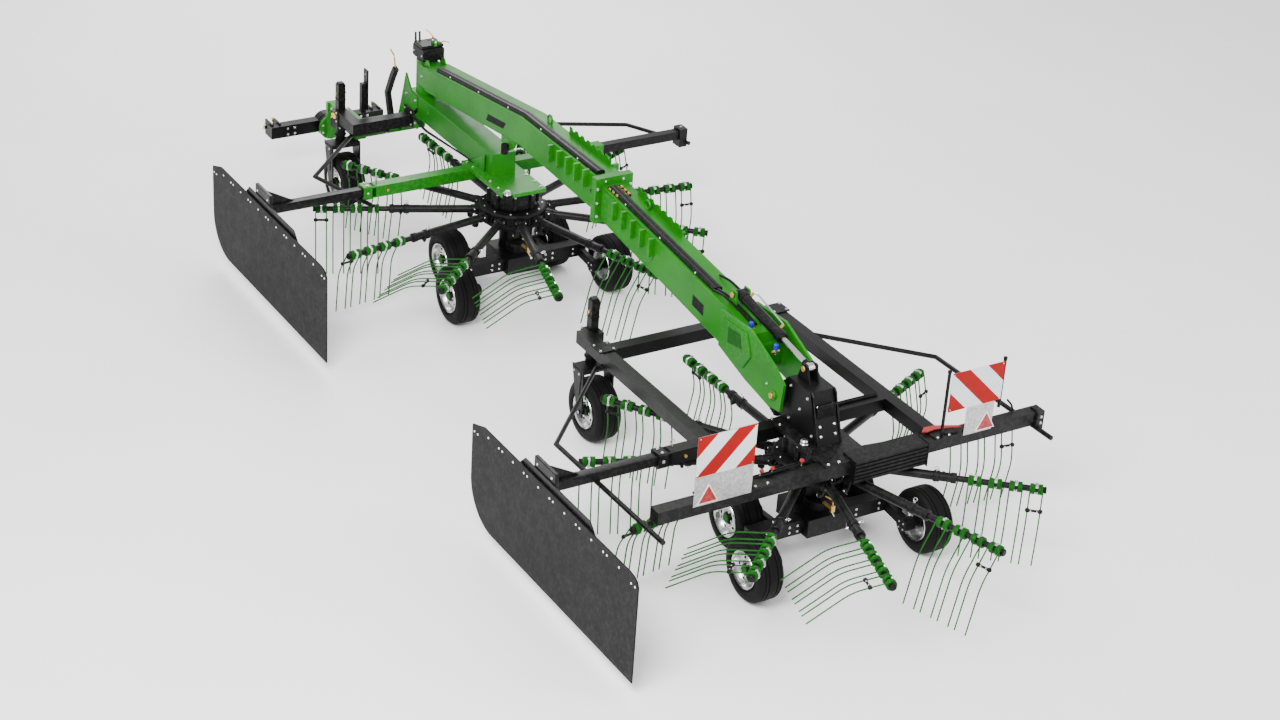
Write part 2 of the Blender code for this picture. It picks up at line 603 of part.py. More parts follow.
# ================================================================ hitch
def hitch(frame):
    """The yoke that steers on its kingpin, and the cross bar that rolls on the yoke's spigot."""
    steer = empty("hitch_steer_axis", (HITCH_X, STEER_Y, STEER_Z), frame)
    eye = cut(rod((HITCH_X, STEER_Y, STEER_Z - YOKE_EYE_HALF), (HITCH_X, STEER_Y, STEER_Z + YOKE_EYE_HALF),
                  0.045, 16),
              rod((HITCH_X, STEER_Y, STEER_Z - 0.2), (HITCH_X, STEER_Y, STEER_Z + 0.2),
                  STEER_PIN_R + PIN_GAP, 16))
    neck_start = STEER_Y + 0.035
    neck = box((0.07, FLANGE_Y - neck_start, 0.09), (HITCH_X, (FLANGE_Y + neck_start) / 2, STEER_Z))
    drop = box((0.10, 0.035, STEER_Z + 0.045 - HITCH_Z + 0.08),
               (HITCH_X, FLANGE_Y - 0.0175, (STEER_Z + 0.045 + HITCH_Z - 0.08) / 2))
    face_y = FLANGE_Y + FLANGE_T
    flange = rod((HITCH_X, FLANGE_Y - 0.002, HITCH_Z), (HITCH_X, face_y, HITCH_Z), 0.10, 20)
    spigot = rod((HITCH_X, FLANGE_Y, HITCH_Z), (HITCH_X, CROSSBAR_Y + 0.06, HITCH_Z), 0.035, 32)
    piece("hitch_yoke", steer, join(eye, neck, drop, flange, spigot), GREEN, ROUND)
    roll = empty("hitch_roll_axis", (HITCH_X, CROSSBAR_Y, HITCH_Z), steer)
    start = face_y + SEAT_GAP
    shell = rod((HITCH_X, start, HITCH_Z), (HITCH_X, CROSSBAR_Y + 0.05, HITCH_Z), 0.095, 20)
    parts = [box((2 * CROSSBAR_HALF, 0.09, 0.10), (HITCH_X, CROSSBAR_Y, HITCH_Z))]
    pin_y = CROSSBAR_Y + 0.10
    for side in (-1, 1):
        x = HITCH_X + side * (CROSSBAR_HALF - 0.055)
        for along in (-0.033, 0.033):
            parts.append(box((0.014, 0.14, 0.13), (x + along, CROSSBAR_Y + 0.055, HITCH_Z)))
        parts.append(rod((x - 0.06, pin_y, HITCH_Z), (x + 0.06, pin_y, HITCH_Z), 0.014, 12))
    bore = rod((HITCH_X, start - 0.1, HITCH_Z), (HITCH_X, CROSSBAR_Y + 0.2, HITCH_Z),
               0.035 + PIN_GAP, 32)
    piece("hitch_crossbar", roll, cut(join(shell, *parts), bore), BLACK, ROUND)


# ================================================================ carrying beam
def beam_section(sections, width):
    top = [(y, high) for y, _, high in sections]
    bottom = [(y, low) for y, low, _ in reversed(sections)]
    return side_plate(top + bottom, width, 0.0)


def beam_top(sections, y):
    """Height of the beam's top face at a place along it."""
    for (y1, _, z1), (y2, _, z2) in zip(sections, sections[1:]):
        if y2 <= y <= y1:
            return z1 + (z2 - z1) * (y - y1) / (y2 - y1)
    return sections[-1][2]


def splice_plate(y):
    _, low, high = BEAM_REAR_SECTIONS[0]
    return box((SPLICE_W, SPLICE_T, high - low + 0.09), (0, y, (low + high) / 2 + 0.01))


def fins(y_start, count, pitch, z_start, fall, x):
    """A row of upright stiffeners along the beam's side, joined by a strip."""
    parts = []
    for side in (-1, 1):
        for index in range(count):
            y = y_start - index * pitch
            z = z_start - index * fall
            parts.append(box((0.05, 0.022, 0.13), (side * (x + 0.02), y, z)))
    return parts


def carrying_beam(root):
    swing = empty("beam_swing_axis", (0, SWING_Y, CARRIER_TOP + 0.05), root)
    splice_y = (BEAM_FRONT_SECTIONS[-1][0] + BEAM_REAR_SECTIONS[0][0]) / 2
    # Front length with the eye round the swing pin.
    front = beam_section(BEAM_FRONT_SECTIONS, BEAM_W)
    boss = rod((0, SWING_Y, CARRIER_TOP + 0.045 + SEAT_GAP), (0, SWING_Y, 1.295), SWING_BOSS_R, 24)
    cheek = box((0.12, 0.22, 0.17), (0, SWING_Y - 0.11, 1.205))
    parts = [boss, cheek, splice_plate(splice_y + SPLICE_T / 2 + SEAT_GAP / 2)]
    parts += fins(splice_y + 0.67, 5, 0.125, 1.42, -0.004, BEAM_W / 2)
    hole = rod((0, SWING_Y, 0.9), (0, SWING_Y, 1.5), SWING_PIN_R + PIN_GAP, 20)
    piece("beam_front_length", swing, cut(join(front, *parts), hole), GREEN, ROUND)
    # Rear length with its head plates and the lift pin.
    rear = beam_section(BEAM_REAR_SECTIONS, BEAM_W)
    parts = [splice_plate(splice_y - SPLICE_T / 2 - SEAT_GAP / 2)]
    parts += fins(splice_y - 0.25, 5, 0.125, 1.36, 0.013, BEAM_W / 2)
    for side in (-1, 1):
        parts.append(side_plate(HEAD_PLATE_OUTLINE, HEAD_PLATE_T, side * HEAD_PLATE_X))
        parts.append(side_plate(((BARREL_EYE_Y - 0.06, 1.22), (BARREL_EYE_Y + 0.06, 1.22),
                                 (BARREL_EYE_Y + 0.03, BARREL_EYE_Z + 0.03),
                                 (BARREL_EYE_Y - 0.03, BARREL_EYE_Z + 0.03)), 0.012, side * BARREL_EAR_X))
    parts.append(box((2 * HEAD_PLATE_X, 0.30, 0.03), (0, 0.76, 1.15)))
    parts.append(box((2 * HEAD_PLATE_X, 0.20, 0.16), (0, 0.70, 1.08)))
    lift_pin_end = HEAD_PLATE_X + 0.03
    parts.append(rod((-lift_pin_end, LIFT_PIN_Y, LIFT_PIN_Z), (lift_pin_end, LIFT_PIN_Y, LIFT_PIN_Z),
                     LIFT_PIN_R, 16))
    ram_pin_end = BARREL_EAR_X + 0.015
    parts.append(rod((-ram_pin_end, BARREL_EYE_Y, BARREL_EYE_Z), (ram_pin_end, BARREL_EYE_Y, BARREL_EYE_Z),
                     RAM_PIN_R, 12))
    piece("beam_rear_length", swing, join(rear, *parts), GREEN, ROUND)
    # A hose cover lies on each length's top.
    for name, sections, stations in (("front", BEAM_FRONT_SECTIONS, COVER_FRONT_Y),
                                     ("rear", BEAM_REAR_SECTIONS, COVER_REAR_Y)):
        low = [(y, beam_top(sections, y) + SEAT_GAP) for y in stations]
        high = [(y, z + COVER_H) for y, z in reversed(low)]
        piece(f"hose_cover_{name}", swing, side_plate(low + high, COVER_W, COVER_X), BLACK)
    valve = box((0.19, 0.20, 0.13), (0, SWING_Y - 0.02, 1.3753))
    piece("valve_block", swing, valve, BLACK)
    return swing


# ================================================================ rear unit
def ram(swing):
    """The lift cylinder: its barrel turns on the beam and its rod slides out to the headstock."""
    eye = Vector((0, BARREL_EYE_Y, BARREL_EYE_Z))
    end = Vector((0, ROD_EYE_Y, ROD_EYE_Z))
    along = (end - eye).normalized()
    length = (end - eye).length
    turn = empty("lift_barrel_axis", eye, swing)
    tube_end = eye + along * (length * 0.62)
    barrel = rod(eye + along * 0.015, tube_end, BARREL_R, 16)
    lug_half = BARREL_EAR_X - 0.010
    lug = rod(eye - Vector((lug_half, 0, 0)), eye + Vector((lug_half, 0, 0)), 0.028, 16)
    barrel = join(barrel, lug)
    bore = rod(eye + along * 0.10, tube_end + along * 0.05, ROD_R + PIN_GAP, 16)
    pin = rod(eye - Vector((0.1, 0, 0)), eye + Vector((0.1, 0, 0)), RAM_PIN_R + PIN_GAP, 12)
    piece("lift_cylinder_barrel", turn, cut(barrel, bore, pin), BLACK, ROUND)
    slide = empty("lift_rod_slide", end, turn)
    shaft = rod(eye + along * 0.28, end - along * 0.015, ROD_R, 16)
    head = rod(end - Vector((0.022, 0, 0)), end + Vector((0.022, 0, 0)), 0.028, 16)
    hole = rod(end - Vector((0.1, 0, 0)), end + Vector((0.1, 0, 0)), RAM_PIN_R + 0.003, 12)
    piece("lift_cylinder_rod", slide, cut(join(shaft, head), hole), SILVER, ROUND)


def warning_board(frame, name, side):
    """A striped panel on a plate that stands on the rear bar."""
    x = side * 0.945
    y = REAR_BAR_Y - TUBE / 2 - 0.0043
    panel = box((0.42, 0.004, 0.49), (x, y, 1.035))
    stand = box((0.05, 0.006, 0.12), (x, y + 0.001, 0.80))
    piece(name, frame, join(panel, stand), WARNING)


def rear_unit(swing):
    frame = empty("rear_lift_axis", (0, LIFT_PIN_Y, LIFT_PIN_Z), swing)
    rotor("rear", frame, (0, 0, ARM_Z))
    running_gear("rear", frame, 0.0)
    castor("rear", frame, 0.0)
    # Tubes over the rotor, joined by the deck on the gearbox.
    outer, hollow = board_socket(REAR_BOARD_TUBE_Y, SIDE_TUBE_RIGHT_X)
    deck_low = GEARBOX_TOP + SEAT_GAP
    deck = box((0.36, REAR_BOARD_TUBE_Y - REAR_BAR_Y + TUBE, DECK_T),
               (0, (REAR_BOARD_TUBE_Y + REAR_BAR_Y) / 2, deck_low + DECK_T / 2))
    block, post = castor_bracket(0.0)
    left = box((TUBE, CASTOR_Y - REAR_BOARD_TUBE_Y, TUBE),
               (SIDE_TUBE_LEFT_X, (CASTOR_Y + REAR_BOARD_TUBE_Y) / 2, FRAME_Z))
    right = box((TUBE, CROSS_TUBE_Y - REAR_BAR_Y + TUBE, TUBE),
                (SIDE_TUBE_RIGHT_X, (CROSS_TUBE_Y + REAR_BAR_Y) / 2, FRAME_Z))
    across = box((SIDE_TUBE_RIGHT_X - SIDE_TUBE_LEFT_X, TUBE, TUBE),
                 ((SIDE_TUBE_RIGHT_X + SIDE_TUBE_LEFT_X) / 2, CROSS_TUBE_Y, FRAME_Z))
    rear_bar = box((REAR_BAR_RIGHT - REAR_BAR_LEFT, TUBE, TUBE),
                   ((REAR_BAR_RIGHT + REAR_BAR_LEFT) / 2, REAR_BAR_Y, FRAME_Z))
    body = join(deck, outer, block, post, left, right, across, rear_bar)
    piece("rear_frame", frame, cut(body, hollow, castor_bore(0.0)), BLACK)
    # Headstock: tower on the deck, eye round the lift pin, ears for the cylinder rod.
    base_z = deck_low + DECK_T + SEAT_GAP
    tower = side_plate(((-0.17, base_z), (0.24, base_z), (0.335, LIFT_PIN_Z - 0.03),
                        (0.325, LIFT_PIN_Z + 0.045), (0.20, 1.15), (-0.04, 1.15)), 0.19, 0.0)
    eye = rod((-0.12, LIFT_PIN_Y, LIFT_PIN_Z), (0.12, LIFT_PIN_Y, LIFT_PIN_Z), 0.055, 20)
    hole = rod((-0.3, LIFT_PIN_Y, LIFT_PIN_Z), (0.3, LIFT_PIN_Y, LIFT_PIN_Z), LIFT_PIN_R + PIN_GAP, 16)
    parts = [eye]
    for side in (-1, 1):
        parts.append(side_plate(((ROD_EYE_Y - 0.07, 1.14), (ROD_EYE_Y + 0.07, 1.14),
                                 (ROD_EYE_Y + 0.028, ROD_EYE_Z + 0.028),
                                 (ROD_EYE_Y - 0.028, ROD_EYE_Z + 0.028)), 0.012, side * 0.034))
    pin = rod((-0.05, ROD_EYE_Y, ROD_EYE_Z), (0.05, ROD_EYE_Y, ROD_EYE_Z), RAM_PIN_R, 12)
    piece("rear_headstock", frame, cut(join(tower, *parts, pin), hole), BLACK, ROUND)
    swath_board("rear", frame, REAR_BOARD_TUBE_Y)
    for name, route in (("left", REAR_GUARD_LEFT), ("right", REAR_GUARD_RIGHT)):
        bar_route = [(x, y, GUARD_Z) for x, y in route]
        piece(f"rear_guard_{name}", frame, wire(bar_route, GUARD_R, 2), BLACK, ROUND)
    warning_board(frame, "warning_board_left", -1)
    warning_board(frame, "warning_board_right", 1)


# ================================================================ build
clear_scene()
RAKE = bpy.data.collections.new("twin_rotor_hay_rake")
WORKSHOP = bpy.data.collections.new("workshop")
bpy.context.scene.collection.children.link(RAKE)
bpy.context.scene.collection.children.link(WORKSHOP)
WORLD = {}
RAKE_ROOT = empty("rake_root", (0, 0, 0))
TINE_ARM = tine_arm_mesh()
TINE_MESH = TINE_ARM.data
TINE_MESH.name = "tine_arm"
TINE_MESH.materials.clear()
TINE_MESH.materials.append(material(GREEN))
bpy.data.objects.remove(TINE_ARM, do_unlink=True)
hitch(front_unit(RAKE_ROOT))
SWING = carrying_beam(RAKE_ROOT)
ram(SWING)
rear_unit(SWING)

# The origin is under the middle of the whole rake, on the ground.
bpy.context.view_layer.update()
CORNERS = [item.matrix_world @ Vector(corner) for item in RAKE.objects if item.type == "MESH"
           for corner in item.bound_box]
LOW = Vector([min(corner[axis] for corner in CORNERS) for axis in range(3)])
HIGH = Vector([max(corner[axis] for corner in CORNERS) for axis in range(3)])
RAKE_ROOT.location = (-(LOW.x + HIGH.x) / 2, -(LOW.y + HIGH.y) / 2, -LOW.z)
bpy.context.view_layer.update()
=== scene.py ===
"""Looks of the twin rotor hay rake: finishes, detail pieces, floor, light and camera."""
import json
import math

import bpy
from mathutils import Matrix, Vector


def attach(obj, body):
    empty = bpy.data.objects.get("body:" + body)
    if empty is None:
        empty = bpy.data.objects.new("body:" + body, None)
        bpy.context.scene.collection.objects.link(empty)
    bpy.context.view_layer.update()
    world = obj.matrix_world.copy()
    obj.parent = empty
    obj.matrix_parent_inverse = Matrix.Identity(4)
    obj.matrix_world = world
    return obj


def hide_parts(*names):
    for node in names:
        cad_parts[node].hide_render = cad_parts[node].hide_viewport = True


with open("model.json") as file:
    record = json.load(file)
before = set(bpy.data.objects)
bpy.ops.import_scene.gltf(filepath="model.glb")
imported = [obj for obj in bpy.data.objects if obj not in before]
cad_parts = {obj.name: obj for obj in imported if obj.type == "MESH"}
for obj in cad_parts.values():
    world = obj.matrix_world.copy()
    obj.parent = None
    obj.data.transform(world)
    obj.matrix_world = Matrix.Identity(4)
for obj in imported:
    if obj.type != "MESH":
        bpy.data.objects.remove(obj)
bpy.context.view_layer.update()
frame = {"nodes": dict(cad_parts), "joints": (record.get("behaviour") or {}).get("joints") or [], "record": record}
NODES = frame["nodes"]
RECORD = frame["record"]
JOINTS = {joint["name"]: joint for joint in frame["joints"]}

# Places below are in the rake's own system: the rear rotor's axis is x = y = 0, the ground z = 0.
ARM_Z = 0.625
SHIFT = Vector(JOINTS["rear_rotor_spin"]["pos_m"]) - Vector((0.0, 0.0, ARM_Z))
SPACING = 4.05
UNITS = (("rear", 0.0), ("front", SPACING))
X = Vector((1.0, 0.0, 0.0))
Y = Vector((0.0, 1.0, 0.0))
Z = Vector((0.0, 0.0, 1.0))


# ---------------------------------------------------------------- materials
def new_material(name):
    made = bpy.data.materials.new(name)
    made.use_nodes = True
    tree = made.node_tree
    return made, tree, tree.nodes["Principled BSDF"]


def noise(tree, scale, detail=4.0, roughness=0.5):
    coords = tree.nodes.new("ShaderNodeTexCoord")
    texture = tree.nodes.new("ShaderNodeTexNoise")
    texture.inputs["Scale"].default_value = scale
    texture.inputs["Detail"].default_value = detail
    texture.inputs["Roughness"].default_value = roughness
    tree.links.new(coords.outputs["Object"], texture.inputs["Vector"])
    return texture.outputs["Fac"]


def ramp(tree, value, stops):
    made = tree.nodes.new("ShaderNodeValToRGB")
    elements = made.color_ramp.elements
    while len(elements) < len(stops):
        elements.new(0.5)
    for element, (place, colour) in zip(elements, stops):
        element.position = place
        element.color = colour
    tree.links.new(value, made.inputs["Fac"])
    return made.outputs["Color"]


def grey(level):
    return (level, level, level, 1.0)


def rgb(red, green, blue):
    return (red, green, blue, 1.0)


def arithmetic(tree, operation, first, second):
    """A math node; each operand is a socket or a number."""
    made = tree.nodes.new("ShaderNodeMath")
    made.operation = operation
    for socket, value in zip(made.inputs, (first, second)):
        if isinstance(value, (int, float)):
            socket.default_value = value
        else:
            tree.links.new(value, socket)
    return made.outputs["Value"]


def mixed(tree, factor, first, second):
    """A colour mix; each colour is a socket or a value."""
    made = tree.nodes.new("ShaderNodeMix")
    made.data_type = "RGBA"
    tree.links.new(factor, made.inputs["Factor"])
    for name, value in (("A", first), ("B", second)):
        if isinstance(value, tuple):
            made.inputs[name].default_value = value
        else:
            tree.links.new(value, made.inputs[name])
    return made.outputs["Result"]


def bump(tree, shader, height, strength, distance):
    made = tree.nodes.new("ShaderNodeBump")
    made.inputs["Strength"].default_value = strength
    made.inputs["Distance"].default_value = distance
    tree.links.new(height, made.inputs["Height"])
    tree.links.new(made.outputs["Normal"], shader.inputs["Normal"])


def painted_edge_highlight(tree, base, highlight_colour, amount):
    """Mixes a lighter colour onto sharp convex edges, broken up by noise: a painted edge highlight."""
    geometry = tree.nodes.new("ShaderNodeNewGeometry")
    edge = ramp(tree, geometry.outputs["Pointiness"], ((0.52, grey(0.0)), (0.60, grey(1.0))))
    patchy = ramp(tree, noise(tree, 38.0), ((0.45, grey(0.0)), (0.65, grey(1.0))))
    factor = arithmetic(tree, "MULTIPLY", arithmetic(tree, "MULTIPLY", edge, patchy), amount)
    return mixed(tree, factor, base, highlight_colour)


def dusted(tree, base, dust, amount):
    """A thin film of dust on faces that look up, uneven."""
    geometry = tree.nodes.new("ShaderNodeNewGeometry")
    split = tree.nodes.new("ShaderNodeSeparateXYZ")
    tree.links.new(geometry.outputs["Normal"], split.inputs["Vector"])
    up = ramp(tree, split.outputs["Z"], ((0.55, grey(0.0)), (0.98, grey(1.0))))
    cloudy = ramp(tree, noise(tree, 6.0, 8.0, 0.65), ((0.42, grey(0.0)), (0.72, grey(1.0))))
    factor = arithmetic(tree, "MULTIPLY", arithmetic(tree, "MULTIPLY", up, cloudy), amount)
    return mixed(tree, factor, base, dust)


def paint(name, dark, light, highlight_colour, roughness, metallic=0.0, highlight_amount=0.30, dust=0.02, grain=420.0,
          depth=0.06, gloss_level=0.5):
    """Sprayed paint: slight colour drift, orange-peel bump, uneven gloss, a painted highlight on the edges."""
    made, tree, shader = new_material(name)
    base = ramp(tree, noise(tree, 3.5), ((0.35, dark), (0.65, light)))
    # The edges get a painted highlight in the lighter third colour.
    colour = dusted(tree, painted_edge_highlight(tree, base, highlight_colour, highlight_amount), rgb(0.20, 0.19, 0.17), dust)
    tree.links.new(colour, shader.inputs["Base Color"])
    gloss = ramp(tree, noise(tree, 11.0), ((0.3, grey(roughness - 0.03)), (0.7, grey(roughness + 0.05))))
    tree.links.new(gloss, shader.inputs["Roughness"])
    shader.inputs["Metallic"].default_value = metallic
    shader.inputs["Specular IOR Level"].default_value = gloss_level
    bump(tree, shader, noise(tree, grain, 2.0), depth, 0.001)
    return made


def striped(name, edge_x, foot_z, lean):
    """Red and white slanting stripes, 0.14 m wide, measured from the panel's lower corner."""
    made, tree, shader = new_material(name)
    coords = tree.nodes.new("ShaderNodeTexCoord")
    split = tree.nodes.new("ShaderNodeSeparateXYZ")
    tree.links.new(coords.outputs["Object"], split.inputs["Vector"])
    across = arithmetic(tree, "MULTIPLY", arithmetic(tree, "SUBTRACT", split.outputs["X"], edge_x), lean)
    rise = arithmetic(tree, "SUBTRACT", split.outputs["Z"], foot_z)
    along = arithmetic(tree, "SUBTRACT", across, rise)
    band = arithmetic(tree, "FLOOR", arithmetic(tree, "DIVIDE", along, 0.14), 0.0)
    odd = arithmetic(tree, "FLOORED_MODULO", band, 2.0)
    red = ramp(tree, noise(tree, 9.0), ((0.3, rgb(0.27, 0.0, 0.0)), (0.7, rgb(0.31, 0.0, 0.0))))
    white = ramp(tree, noise(tree, 9.0), ((0.3, rgb(0.66, 0.69, 0.71)), (0.7, rgb(0.74, 0.77, 0.79))))
    tree.links.new(mixed(tree, odd, red, white), shader.inputs["Base Color"])
    gloss = ramp(tree, noise(tree, 14.0), ((0.3, grey(0.42)), (0.7, grey(0.52))))
    tree.links.new(gloss, shader.inputs["Roughness"])
    shader.inputs["Specular IOR Level"].default_value = 0.15
    bump(tree, shader, noise(tree, 900.0, 1.0), 0.10, 0.0005)
    return made


def galvanised(name):
    """Zinc with a crystalline spangle."""
    made, tree, shader = new_material(name)
    coords = tree.nodes.new("ShaderNodeTexCoord")
    cells = tree.nodes.new("ShaderNodeTexVoronoi")
    cells.inputs["Scale"].default_value = 90.0
    tree.links.new(coords.outputs["Object"], cells.inputs["Vector"])
    split = tree.nodes.new("ShaderNodeSeparateColor")
    tree.links.new(cells.outputs["Color"], split.inputs["Color"])
    colour = ramp(tree, split.outputs["Red"], ((0.0, grey(0.36)), (1.0, grey(0.58))))
    tree.links.new(colour, shader.inputs["Base Color"])
    gloss = ramp(tree, split.outputs["Green"], ((0.0, grey(0.34)), (1.0, grey(0.52))))
    tree.links.new(gloss, shader.inputs["Roughness"])
    shader.inputs["Metallic"].default_value = 0.85
    bump(tree, shader, noise(tree, 160.0, 3.0), 0.05, 0.001)
    return made


# Each paint's third colour is its painted edge highlight, lighter than the paint itself.
GREEN = paint("gloss_green", rgb(0.005, 0.125, 0.002), rgb(0.008, 0.165, 0.003), rgb(0.05, 0.28, 0.04),
              0.36, gloss_level=0.22)
TINE_GREEN = paint("tine_green", rgb(0.002, 0.060, 0.002), rgb(0.004, 0.085, 0.003),
                   rgb(0.02, 0.14, 0.02), 0.45, gloss_level=0.12)
BLACK = paint("satin_black", grey(0.0022), grey(0.0035), grey(0.035), 0.38, dust=0.012, gloss_level=0.16)
CAST = paint("cast_black", grey(0.0020), grey(0.0032), grey(0.030), 0.46, dust=0.012, grain=190.0,
             depth=0.30, gloss_level=0.14)
BOARD = paint("board_black", grey(0.0052), grey(0.0062), grey(0.04), 0.56, dust=0.003, grain=260.0,
              depth=0.14, gloss_level=0.10)
RUBBER = paint("tyre_rubber", grey(0.0022), grey(0.0032), grey(0.012), 0.64, dust=0.016, grain=300.0,
               depth=0.18, gloss_level=0.12)
STEEL = paint("bright_steel", grey(0.50), grey(0.66), grey(0.8), 0.26, metallic=1.0, dust=0.0)
ZINC = galvanised("galvanised_plate")
BRASS = paint("passivated_brass", rgb(0.50, 0.30, 0.07), rgb(0.62, 0.40, 0.11), rgb(0.8, 0.6, 0.3),
              0.34, metallic=0.9, dust=0.0)
RED = paint("red_plastic", rgb(0.26, 0.0, 0.0), rgb(0.32, 0.0, 0.0), rgb(0.5, 0.1, 0.1), 0.34,
            dust=0.0)
BLUE = paint("blue_plastic", rgb(0.0, 0.004, 0.40), rgb(0.001, 0.006, 0.50), rgb(0.2, 0.2, 0.8), 0.32,
             dust=0.0)
YELLOW = paint("yellow_plastic", rgb(0.80, 0.44, 0.004), rgb(0.88, 0.52, 0.008), rgb(0.9, 0.7, 0.2), 0.35,
               dust=0.0)
WHITE = paint("white_plastic", grey(0.74), grey(0.82), grey(0.9), 0.40, dust=0.0)

SLOT_FINISH = {
    "paint_green": GREEN, "paint_black": BLACK, "board_black": BOARD, "rubber": RUBBER,
    "bright_steel": STEEL, "warning_red_white": RED,
}
for part in RECORD["subparts"]:
    node = NODES[part["node"]]
    node.data.materials.clear()
    node.data.materials.append(SLOT_FINISH[part["material_slot"]])


# ---------------------------------------------------------------- shapes
# A shape is a list of points and a list of faces, closed and facing out.
def moved(shape, matrix):
    points, faces = shape
    turned = [face[::-1] for face in faces] if matrix.determinant() < 0 else faces
    return [matrix @ point for point in points], turned


def facing(axis, place=(0.0, 0.0, 0.0)):
    """Turns +Z to the axis and moves to the place."""
    turn = Vector(axis).to_track_quat("Z", "Y").to_matrix().to_4x4()
    return Matrix.Translation(place) @ turn


def lathe(profile, sides=24, closed=False):
    """Turns (radius, height) points round Z."""
    points = []
    rings = []
    for radius, height in profile:
        if radius < 1e-6:
            rings.append([len(points)] * sides)
            points.append(Vector((0.0, 0.0, height)))
            continue
        rings.append(list(range(len(points), len(points) + sides)))
        for step in range(sides):
            angle = math.tau * step / sides
            points.append(Vector((radius * math.cos(angle), radius * math.sin(angle), height)))
    pairs = list(zip(rings, rings[1:]))
    if closed:
        pairs.append((rings[-1], rings[0]))
    faces = []
    for low, high in pairs:
        for step in range(sides):
            after = (step + 1) % sides
            face = [low[step], low[after], high[after], high[step]]
            face = [point for index, point in enumerate(face) if point != face[index - 1]]
            if len(face) > 2:
                faces.append(face)
    return points, faces


def drum(radius, low, high, edge=0.002, sides=20):
    """A solid cylinder with both rims chamfered."""
    return lathe(((0.0, low), (radius - edge, low), (radius, low + edge), (radius, high - edge),
                  (radius - edge, high), (0.0, high)), sides)


def rod(start, end, radius, sides=12, edge=0.0015):
    start = Vector(start)
    end = Vector(end)
    return moved(drum(radius, 0.0, (end - start).length, edge, sides), facing(end - start, start))


def rounded(points, reach, steps=5):
    """A path with its inner corners rounded."""
    points = [Vector(point) for point in points]
    path = [points[0]]
    for before, corner, after in zip(points, points[1:], points[2:]):
        start = corner + (before - corner).normalized() * min(reach, (before - corner).length * 0.48)
        end = corner + (after - corner).normalized() * min(reach, (after - corner).length * 0.48)
        for step in range(steps + 1):
            share = step / steps
            path.append(start.lerp(corner, share).lerp(corner.lerp(end, share), share))
    return path + [points[-1]]


def sweep(path, radius, sides=8, closed=False):
    """A round section carried along a path."""
    path = [Vector(point) for point in path]
    count = len(path)
    points = []
    normal = None
    for index, place in enumerate(path):
        before = path[index - 1] if index or closed else place
        after = path[(index + 1) % count] if index < count - 1 or closed else place
        along = (after - before).normalized()
        if normal is None:
            normal = along.orthogonal()
        normal = (normal - along * normal.dot(along)).normalized()
        side = along.cross(normal)
        for step in range(sides):
            angle = math.tau * step / sides
            points.append(place + radius * (math.cos(angle) * normal + math.sin(angle) * side))
    faces = []
    for index in range(count if closed else count - 1):
        low = index * sides
        high = (index + 1) % count * sides
        for step in range(sides):
            after = (step + 1) % sides
            faces.append([low + step, low + after, high + after, high + step])
    if not closed:
        faces.append(list(range(sides))[::-1])
        faces.append([(count - 1) * sides + step for step in range(sides)])
    return points, faces


def ring(middle, axis, radius, wire, sides=20, section=8):
    turn = facing(axis, middle)
    loop = []
    for step in range(sides):
        angle = math.tau * step / sides
        loop.append(turn @ Vector((radius * math.cos(angle), radius * math.sin(angle), 0.0)))
    return sweep(loop, wire, section, closed=True)


def loft(sections):
    """Joins a row of equal-count loops and caps both ends."""
    count = len(sections[0])
    points = [Vector(point) for section in sections for point in section]
    faces = []
    for index in range(len(sections) - 1):
        low = index * count
        high = low + count
        for step in range(count):
            after = (step + 1) % count
            faces.append([low + step, low + after, high + after, high + step])
    faces.append(list(range(count))[::-1])
    last = (len(sections) - 1) * count
    faces.append([last + step for step in range(count)])
    return points, faces


def shrunk(outline, reach):
    """A closed outline drawn in by a small reach; it runs anticlockwise."""
    made = []
    for before, here, after in zip(outline[-1:] + outline[:-1], outline, outline[1:] + outline[:1]):
        first = (here - before).normalized()
        second = (after - here).normalized()
        inward = Vector((-first.y - second.y, first.x + second.x))
        length = max(inward.length, 0.3)
        made.append(here + inward.normalized() * reach * min(2.0 / length, 2.0))
    return made


def slab(outline, thickness, edge=0.0015):
    """A plate in the XY plane, drawn up half its thickness each way, both rims chamfered."""
    outline = [Vector(point) for point in outline]
    area = sum(a.x * b.y - b.x * a.y for a, b in zip(outline, outline[1:] + outline[:1]))
    if area < 0:
        outline.reverse()
    inner = shrunk(outline, edge)
    half = thickness / 2
    layers = ((inner, -half), (outline, edge - half), (outline, half - edge), (inner, half))
    return loft([[(point.x, point.y, height) for point in layer] for layer, height in layers])


SIDE_ON = Matrix(((0, 0, 1, 0), (1, 0, 0, 0), (0, 1, 0, 0), (0, 0, 0, 1)))
END_ON = Matrix(((-1, 0, 0, 0), (0, 0, 1, 0), (0, 1, 0, 0), (0, 0, 0, 1)))


def side_slab(outline, thickness, x, edge=0.0015):
    """A plate that stands across X; its outline is in y and z."""
    return moved(slab(outline, thickness, edge), Matrix.Translation((x, 0.0, 0.0)) @ SIDE_ON)


def end_slab(outline, thickness, y, edge=0.0015):
    """A plate that stands across Y; its outline is in x and z."""
    flipped = [(-x, z) for x, z in outline]
    return moved(slab(flipped, thickness, edge), Matrix.Translation((0.0, y, 0.0)) @ END_ON)


def flat_slab(outline, thickness, z, edge=0.0015):
    return moved(slab(outline, thickness, edge), Matrix.Translation((0.0, 0.0, z)))


